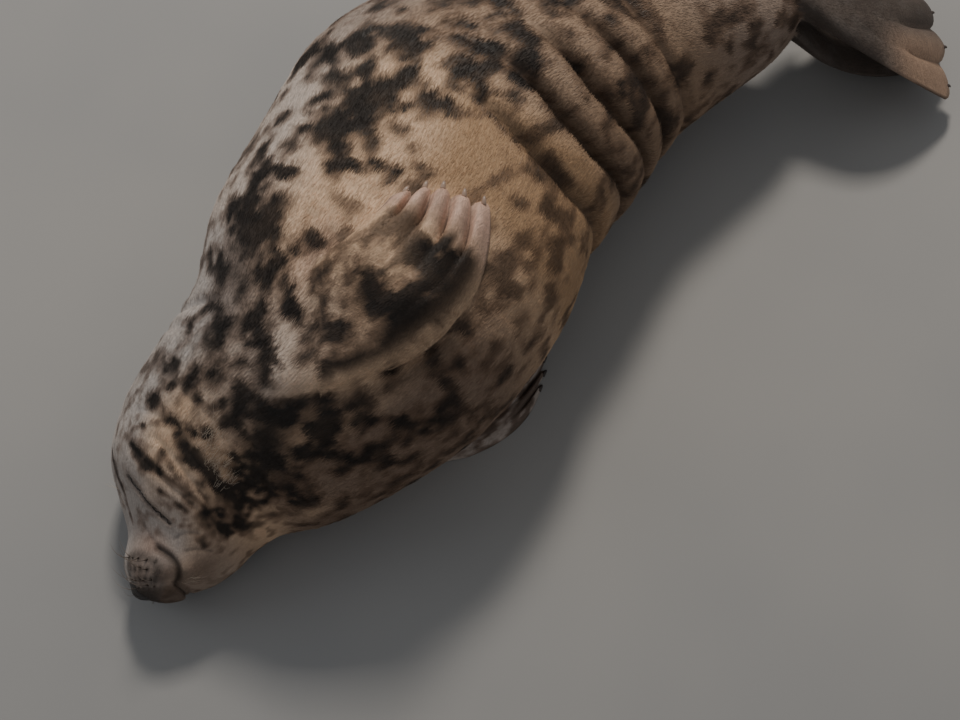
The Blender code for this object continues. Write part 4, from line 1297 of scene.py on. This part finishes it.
def coat_socket(label, kind, in_out="INPUT"):
    """Names one input or output of the tree, and returns the identifier that a modifier sets it by."""
    face = COAT.tree.interface
    return face.new_socket(label, in_out=in_out, socket_type=f"NodeSocket{kind}").identifier


coat_socket("Geometry", "Geometry")
coat_socket("Geometry", "Geometry", "OUTPUT")
COAT_SOCKETS = {label: coat_socket(label, SOCKET_KINDS[type(value)]) for label, value in COAT_SIZES.items()}
group_input = COAT.tree.nodes.new("NodeGroupInput")
given = {label: Wire(COAT, group_input.outputs[label]) for label in ("Geometry", *COAT_SIZES)}


def named(name, kind="FLOAT"):
    return COAT.node("GeometryNodeInputNamedAttribute", {"Name": name}, data_type=kind)


def random_number(low, high, seed):
    return COAT.node("FunctionNodeRandomValue", {2: low, 3: high, "Seed": seed}, 1, data_type="FLOAT")


count = named("fur") * given["Tufts per square metre"]
scatter = {"Mesh": given["Geometry"], "Density": count, "Seed": given["Seed"]}
spots = COAT.node("GeometryNodeDistributePointsOnFaces", scatter)
ways = {
    "Primary Axis": Wire(COAT, spots.socket.node.outputs["Normal"]),
    "Secondary Axis": named("lie", "FLOAT_VECTOR"),
}
laid = COAT.node("FunctionNodeAxesToRotation", ways, primary_axis="Z", secondary_axis="Y")
ranges = {"Min": (-0.5, -0.4, -1.0), "Max": (0.5, 0.4, 1.0), "Seed": 3}
jitter = COAT.node("FunctionNodeRandomValue", ranges, data_type="FLOAT_VECTOR")
jitter = COAT.node("ShaderNodeVectorMath", {0: jitter, "Scale": given["Stray"]}, operation="SCALE")
lift = COAT.node("ShaderNodeCombineXYZ", {"X": given["Lift"]})
tilt = COAT.node("ShaderNodeVectorMath", {0: jitter, 1: lift}, operation="ADD")
tilt = COAT.node("FunctionNodeEulerToRotation", {0: tilt})
laid = COAT.node("FunctionNodeRotateRotation", {0: laid, 1: tilt}, rotation_space="LOCAL")
length = given["Length"] * named("size") * random_number(*LENGTH_RANGE, 5)
width = given["Width"] * named("size") ** 0.75 * random_number(0.7, 1.2, 6)
scale = COAT.node("ShaderNodeCombineXYZ", {"X": width, "Y": length, "Z": width * 0.45})
model = COAT.node("GeometryNodeObjectInfo", {"Object": given["Tuft"]}, "Geometry")
stand = {"Points": spots, "Instance": model, "Rotation": laid, "Scale": scale}
tufts = COAT.node("GeometryNodeInstanceOnPoints", stand)
values = {"Geometry": tufts, "Name": "shade", "Value": random_number(0.0, 1.0, 8)}
tufts = COAT.node("GeometryNodeStoreNamedAttribute", values, data_type="FLOAT", domain="INSTANCE")
real = COAT.node("GeometryNodeRealizeInstances", {"Geometry": tufts})
real = COAT.node("GeometryNodeSetMaterial", {"Geometry": real, "Material": given["Material"]})
COAT.tree.links.new(real.socket, COAT.tree.nodes.new("NodeGroupOutput").inputs["Geometry"])
print("coat tree:", len(COAT.tree.nodes), "nodes")

# %% Laying the coat zone by zone
MAP_PATCH = 0.003  # size of a tuft's patch in the map OFBake
HIND_TUFTS = 275000.0
ZONE_ENDS = {"head": 0.105, "neck": 0.205, "shoulders": 0.300, "chest": 0.390, "middle": 0.475}
ZONE_ENDS |= {"flank": 0.560, "loin": 0.665, "hips": 0.790, "rump": 2.0}

zones, start = {}, -1.0
for zone, zone_end in ZONE_ENDS.items():
    zones[zone] = trunk_only & (along >= start) & (along < zone_end)
    start = zone_end
zones["rump"] |= on_tail
zones["fore_flippers"] = fore | fore_right
zones["hind_flippers"] = hind & ~on_tail


def add_patch_map(mesh):
    """The map OFBake: each tuft is a small patch at its root's place on the skin's own unwrap."""
    root = read_all(mesh.attributes["unwrap"].data, "vector")[:, :2]
    low, high = root.min(0), root.max(0)
    place = (root - low) / np.maximum(high - low, 1e-6) * (0.99 - MAP_PATCH) + 0.005
    local = read_all(mesh.attributes["blade"].data, "vector")[:, :2] + (0.5, 0.04)
    corners = np.empty(len(mesh.loops), np.int64)
    mesh.loops.foreach_get("vertex_index", corners)
    chart = mesh.uv_layers.new(name="OFBake")
    chart.data.foreach_set("uv", (place + local * MAP_PATCH)[corners].astype(np.float32).ravel())


def lay_coat(zone, seed):
    """Grows one zone of the coat on the skin, and returns it as a plain mesh object."""
    if "fur" in skin.data.attributes:
        skin.data.attributes.remove(skin.data.attributes["fur"])
    write_attribute(skin.data, "fur", density * zones[zone])
    step = skin.modifiers.new("coat", "NODES")
    step.node_group = COAT.tree
    sizes = COAT_SIZES | {"Seed": seed}
    if zone == "hind_flippers":
        sizes["Tufts per square metre"] = HIND_TUFTS
    for label, value in sizes.items():
        step[COAT_SOCKETS[label]] = value
    coat = plain_copy(skin, f"coat_{zone}")
    skin.modifiers.remove(step)
    set_points(coat.data, read_all(coat.data.vertices, "co"))
    add_patch_map(coat.data)
    print(coat.name, len(coat.data.polygons), "triangles")
    return coat


coats = [lay_coat(zone, seed) for seed, zone in enumerate(zones)]
print("coat in all:", sum(len(coat.data.polygons) for coat in coats), "triangles")

# %% [markdown]
# ## Nose pad
#
# The nose is bare, dark and finely pebbled, with two slits that stay shut while the seal rests. It is a
# disc laid on the skin by casting rays at it, so it follows the muzzle, raised a little and closed
# below. The slits are pressed into it, which real shadow needs and bump alone would not give.

# %% A disc laid on the skin
SKIN_TREE = BVHTree.FromPolygons(
    read_all(skin.data.vertices, "co").tolist(), [list(face.vertices) for face in skin.data.polygons]
)


def nearest_skin(place):
    """The nearest point of the skin, and the way out of it."""
    found = SKIN_TREE.find_nearest(Vector(place))
    return np.array(found[0]), np.array(found[1])


def on_skin(place, toward, reach=0.03):
    """Where a ray along toward, started a little outside, meets the skin."""
    hit = SKIN_TREE.ray_cast(Vector(place) - Vector(toward) * reach, Vector(toward), 2 * reach)[0]
    return nearest_skin(place)[0] if hit is None else np.array(hit)


def rooted(place, sink):
    """A point sunk a little into the skin near a place, and the way out of the skin there."""
    out = nearest_skin(place)[1]
    return on_skin(place, -out) - out * sink, out


NOSE_RINGS, NOSE_CORNERS = 30, 72
NOSE_HALF_SIZES = (0.0125, 0.0152)  # along the back line of the head, and across it
NOSE_RISE, NOSE_SINK, SLIT_DEPTH, SLIT_LIP, GROOVE_DEPTH = 0.0013, 0.0030, 0.0017, 0.0008, 0.0006


def nose_height(x, y):
    """Rise of the pad above the skin; x and y are shares of its half sizes."""
    rise = NOSE_RISE * np.sqrt(np.clip(1 - np.clip(np.hypot(x, y), 0, 1) ** 5, 0, 1))
    for side in (1, -1):
        away = y * side - (0.36 + 0.10 * (x + 0.3) ** 2)
        slit = bell(away / 0.060) * ease(-0.62, -0.30, x) * ease(0.62, 0.35, x)
        lip = bell(away / 0.190) * ease(-0.75, -0.30, x) * ease(0.75, 0.35, x)
        rise = rise + SLIT_LIP * lip - SLIT_DEPTH * slit
    return rise - GROOVE_DEPTH * bell(y / 0.05) * ease(0.0, 0.5, x)


nose_centre = np.mean(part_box("nose"), axis=0)
nose_out = unit(nearest_skin(nose_centre)[1] * (1, 1, 0))
nose_across = np.array((0.0, 0.0, 1.0))
nose_down = np.cross(nose_out, nose_across)
turns = 2 * math.pi * np.arange(NOSE_CORNERS) / NOSE_CORNERS
radius, turn = np.meshgrid(np.linspace(0.03, 1, NOSE_RINGS), turns, indexing="ij")
x, y = radius * np.cos(turn), radius * np.sin(turn)
flat = nose_down * NOSE_HALF_SIZES[0] * x[..., None] + nose_across * NOSE_HALF_SIZES[1] * y[..., None]
base = np.array([on_skin(nose_centre + spot, -nose_out) for spot in flat.reshape(-1, 3)]).reshape(flat.shape)
layers = np.concatenate([base + nose_out * nose_height(x, y)[..., None], base[-1:] - nose_out * NOSE_SINK])
nose_finish = Finish("nose skin", 0.42, 0.45)
pebble_values = {"Vector": nose_finish.place(), "Scale": 1500.0, "Randomness": 0.9}
pebbles = nose_finish.node("ShaderNodeTexVoronoi", pebble_values, feature="DISTANCE_TO_EDGE")
pebbles = nose_finish.spread(pebbles, 0.0, 0.25)
cloud = nose_finish.cloud(260.0, 3.0, 0.34, 0.52)
# The grooves between the pebbles are painted darker, as painted shade.
nose_colour = nose_finish.blend(pebbles * 0.6 + cloud * 0.4, (0.010, 0.008, 0.007), (0.050, 0.038, 0.034))
nose_finish.link("Base Color", nose_colour)
nose_finish.bump(pebbles + cloud * 0.4, 0.00035, 0.8)
nose = dress(outward_object("nose_pad", *closed_tube(layers)), nose_finish)
print("nose pad:", len(nose.data.polygons), "faces")

# %% [markdown]
# ## Hairs as thin tubes
#
# Whiskers, the edges of the shut lids and the last long baby hairs are thin tubes that end in a point.
# One helper sweeps them all: it takes the middle line of each and its thickness at the root.


# %% Sweeping tubes
def bundle(name, tubes, shares, finish):
    """One mesh of closed tubes. Attribute reach runs from 0 at each root to 1 at its tip."""
    points, faces, reach = [], [], []
    for tube, share in zip(tubes, shares):
        tube_points, tube_faces = closed_tube(tube)
        faces += [[corner + len(reach) for corner in face] for face in outward_faces(tube_points, tube_faces)]
        points.append(tube_points)
        reach += [*np.repeat(share, tube.shape[1]), 0.0, 1.0]
    made = mesh_object(name, np.vstack(points), faces)
    write_attribute(made.data, "reach", np.array(reach))
    print(name, len(tubes), "tubes,", len(faces), "faces")
    return dress(made, finish)


def swept(name, lines, girths, finish, sides=6):
    """A bundle of tubes along middle lines, with the girth of each as a function of the reach."""
    turn = (2 * math.pi * np.arange(sides) / sides)[:, None, None]
    tubes, shares = [], []
    for line, girth in zip(lines, girths):
        way = unit(np.gradient(line, axis=0))
        side = unit(np.cross(way, (0.31, 0.17, 0.93)))
        around = (np.cos(turn) * side + np.sin(turn) * np.cross(way, side)).transpose(1, 0, 2)
        shares.append(np.linspace(0, 1, len(line)))
        tubes.append(line[:, None] + around * girth(shares[-1])[:, None, None])
    return bundle(name, tubes, shares, finish)


def hair_line(root, way, fall, length, steps=12):
    """A hair that leaves its root along way and bends towards fall."""
    share = np.linspace(0, 1, steps)[:, None]
    line = root + (way * share * (1 - 0.35 * share) + fall * share**2 * 0.55) * length
    line[:, 2] = np.maximum(line[:, 2], FLOOR_CLEAR + 0.0006)
    return line


# %% Whiskers
WHISKER_LENGTHS, BROW_TURN, BROW_LONGER = (0.008, 0.014, 0.028, 0.036), 50, 1.4
FOLLICLE = 0.0008  # extra half width at the root, where the dark follicle shows
HEAD_REACH = 0.012  # how far a whisker may stand outside the head's own end

chance = np.random.default_rng(7)
forehead_way = unit(body_spot(0.0, 0) - body_spot(0.05, 0))
lines, girths = [], []
for side in (1, -1):
    for place, turn_at in follicle_places:
        here = place + 0.0007 * chance.standard_normal()
        there = (turn_at + 1.5 * chance.standard_normal()) * side
        root, out = rooted(body_spot(here, there), 0.0006)
        length = chance.choice(WHISKER_LENGTHS) * (0.8 + 0.4 * chance.random())
        length *= BROW_LONGER if turn_at < BROW_TURN else 1.0
        wander = 0.18 * chance.standard_normal(3)
        way = out * 0.9 - forehead_way * 0.1 + 1.6 * wander
        line = hair_line(root, way, -forehead_way + 0.3 * wander, length)
        line[:, 0] = np.maximum(line[:, 0], CAD_BOX[0][0] - HEAD_REACH)
        lines.append(line)
        girth = 0.00034 + 0.00010 * chance.random()
        girths.append(lambda share, girth=girth: girth * (1 - share) ** 0.8 + FOLLICLE * bell(share / 0.05))
whisker_finish = Finish("whisker horn", 0.36)
beads = whisker_finish.cloud(900.0, 1.0, 0.28, 0.46)
reach = whisker_finish.spread(whisker_finish.attribute("reach"), 0.05, 0.45)
colour = whisker_finish.blend(reach, (0.020, 0.014, 0.011), (0.24, 0.19, 0.15))
whisker_finish.link("Base Color", whisker_finish.blend(beads * 0.5, colour, (0.10, 0.075, 0.06)))
whiskers = swept("whiskers", lines, girths, whisker_finish)


# %% Shut eyes
# Each shut eye shows only the moist dark edge where its two lids meet.
def clouded(name, roughness, specular, scale, range_of_roughness, first, second):
    """A finish whose colour and roughness both follow one noise."""
    finish = Finish(name, roughness, specular)
    finish.link("Base Color", finish.blend(finish.cloud(scale, 2.0, *range_of_roughness), first, second))
    return finish


def lid_girth(share):
    return LID_GIRTH * np.sqrt(np.clip(np.sin(math.pi * share), 0.01, 1))


LID_GIRTH, LID_COLOURS = 0.00060, ((0.008, 0.006, 0.005), (0.040, 0.027, 0.022))

lid_finish = clouded("lid edge", 0.24, 0.55, 700.0, (0.18, 0.34), *LID_COLOURS)
lid_edges = {}
for side, line in {"left": EYE_SLIT, "right": other_side(EYE_SLIT)}.items():
    laid = np.array([rooted(spot, -0.0001)[0] for spot in smooth_line(line, 2)])
    lid_edges[f"eye_{side}"] = swept(f"lid_edge_{side}", [laid], [lid_girth], lid_finish, 10)

# %% Stray hairs
# Tufts of the long pale coat it was born with still cling to the neck and under the chin.
STRAY_PATCHES = (  # place, angle, half length, half width, how many, and how long
    ((133, 100, 11, 5, 110, 12), (121, 109, 10, 6, 120, 13), (112, 119, 9, 5, 46, 12))
    + ((146, 93, 7, 3, 22, 12), (6, 150, 6, 10, 26, 8), (60, 30, 10, 8, 8, 10))
)

lines, girths = [], []
for place, turn_at, half_length, half_width, count, length in STRAY_PATCHES:
    for _ in range(count):
        here = (place + half_length * chance.uniform(-1, 1)) / 1000
        there = turn_at + half_width * chance.uniform(-1, 1)
        start = body_spot(here, there)
        root, out = rooted(start, 0.0004)
        ahead = unit(body_spot(here + 0.01, there) - start)
        wander = 0.35 * chance.standard_normal(3)
        way = ahead * 0.75 + out * (0.30 + 0.25 * chance.random()) + wander
        lines.append(hair_line(root, way, ahead + 0.2 * wander, length / 1000 * chance.uniform(0.6, 1.25), 8))
        girth = 0.00013 + 0.00006 * chance.random()
        girths.append(lambda share, girth=girth: girth * np.clip(1 - share, 0.08, 1) ** 0.5)
STRAY_COLOURS = ((0.50, 0.38, 0.27), (0.80, 0.68, 0.55))
stray_finish = clouded("pale baby hair", 0.50, 0.5, 180.0, (0.42, 0.60), *STRAY_COLOURS)
stray_hairs = swept("stray_hairs", lines, girths, stray_finish, 4)

# %% [markdown]
# ## Claws
#
# Each digit ends in a slim curved claw of horn, pale on the raised fore flipper and dark on the hind
# ones. A claw follows the simple solid that it replaces from its root to its tip, with a rounder
# section, a curve and fine lines along the horn.

# %% Claws and their horn
CLAW_SIDES, CLAW_REACH, CLAW_SHARE = 12, np.linspace(0, 1, 10), 0.62
CLAW_HALF_WIDTH, CLAW_HALF_HEIGHT, CLAW_BEND = 0.0025, 0.0016, 0.0010


def claw_tube(node):
    """The rings of one claw, on the line from the root to the tip of the solid that it replaces."""
    corners = read_all(frame["nodes"][node].data.vertices, "co")
    tip = corners[np.linalg.norm(corners - corners.mean(0), axis=1).argmax()]
    away_from_tip = np.linalg.norm(corners - tip, axis=1)
    root = corners[away_from_tip > 0.85 * away_from_tip.max()].mean(0)
    way = unit(tip - root)
    side = unit(np.cross(way, (0, 0, 1)))
    up = np.cross(side, way)
    share = CLAW_REACH[:, None, None]
    turn = (2 * math.pi * np.arange(CLAW_SIDES) / CLAW_SIDES)[None, :, None]
    taper = np.sqrt(np.clip(1 - share**1.7, 0.004, 1))
    middle = root + (tip - root) * CLAW_SHARE * share + up * CLAW_BEND * np.sin(math.pi * share)
    tube = middle + (side * np.cos(turn) * CLAW_HALF_WIDTH + up * np.sin(turn) * CLAW_HALF_HEIGHT) * taper
    tube[..., 2] = np.maximum(tube[..., 2], FLOOR_CLEAR)
    return tube


def horn(name, root_colour, tip_colour):
    finish = Finish(name, 0.38)
    streaks = finish.cloud(1100.0, 3.0, 0.30, 0.48)
    colour = finish.blend(finish.spread(finish.attribute("reach"), 0.1, 0.95), root_colour, tip_colour)
    finish.link("Base Color", finish.blend(streaks * 0.45, colour, root_colour))
    finish.bump(streaks, 0.0002, 0.6)
    return finish


pale_horn = horn("pale horn", (0.44, 0.31, 0.235), (0.24, 0.165, 0.125))
dark_horn = horn("dark horn", (0.060, 0.042, 0.034), (0.014, 0.010, 0.009))
claw_nodes = {limb: [f"claw_{limb}_{digit}" for digit in range(1, DIGITS + 1)] for limb in FLIPPERS}
claws = {}
for limb, nodes in claw_nodes.items():
    tone = pale_horn if limb == "fore_left" else dark_horn
    claws[limb] = bundle(f"claws_{limb}", [*map(claw_tube, nodes)], [CLAW_REACH] * DIGITS, tone)

# %% [markdown]
# ## Handing the pieces to the frame
#
# Everything rides on the one body, because a resting animal has no joints. The skin stands for all the
# flesh solids, and each small piece for its own.

# %% Riding and replacing
bpy.data.objects.remove(tuft)
flesh = [node for node in frame["nodes"] if not node.startswith(("claw_", "eye_", "nose"))]
pieces = [(skin, "hide", flesh), *((coat, "hide", []) for coat in coats)]
pieces += [(nose, "nose_skin", ["nose"]), (whiskers, "horn", []), (stray_hairs, "hide", [])]
pieces += [(edge, "lid", [node]) for node, edge in lid_edges.items()]
pieces += [(claws[limb], "horn", claw_nodes[limb]) for limb in FLIPPERS]
for piece, slot, nodes in pieces:
    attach(piece, "root")
    if nodes:
        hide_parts(*nodes)
print("pieces:", len(pieces), "flesh solids replaced:", len(flesh))
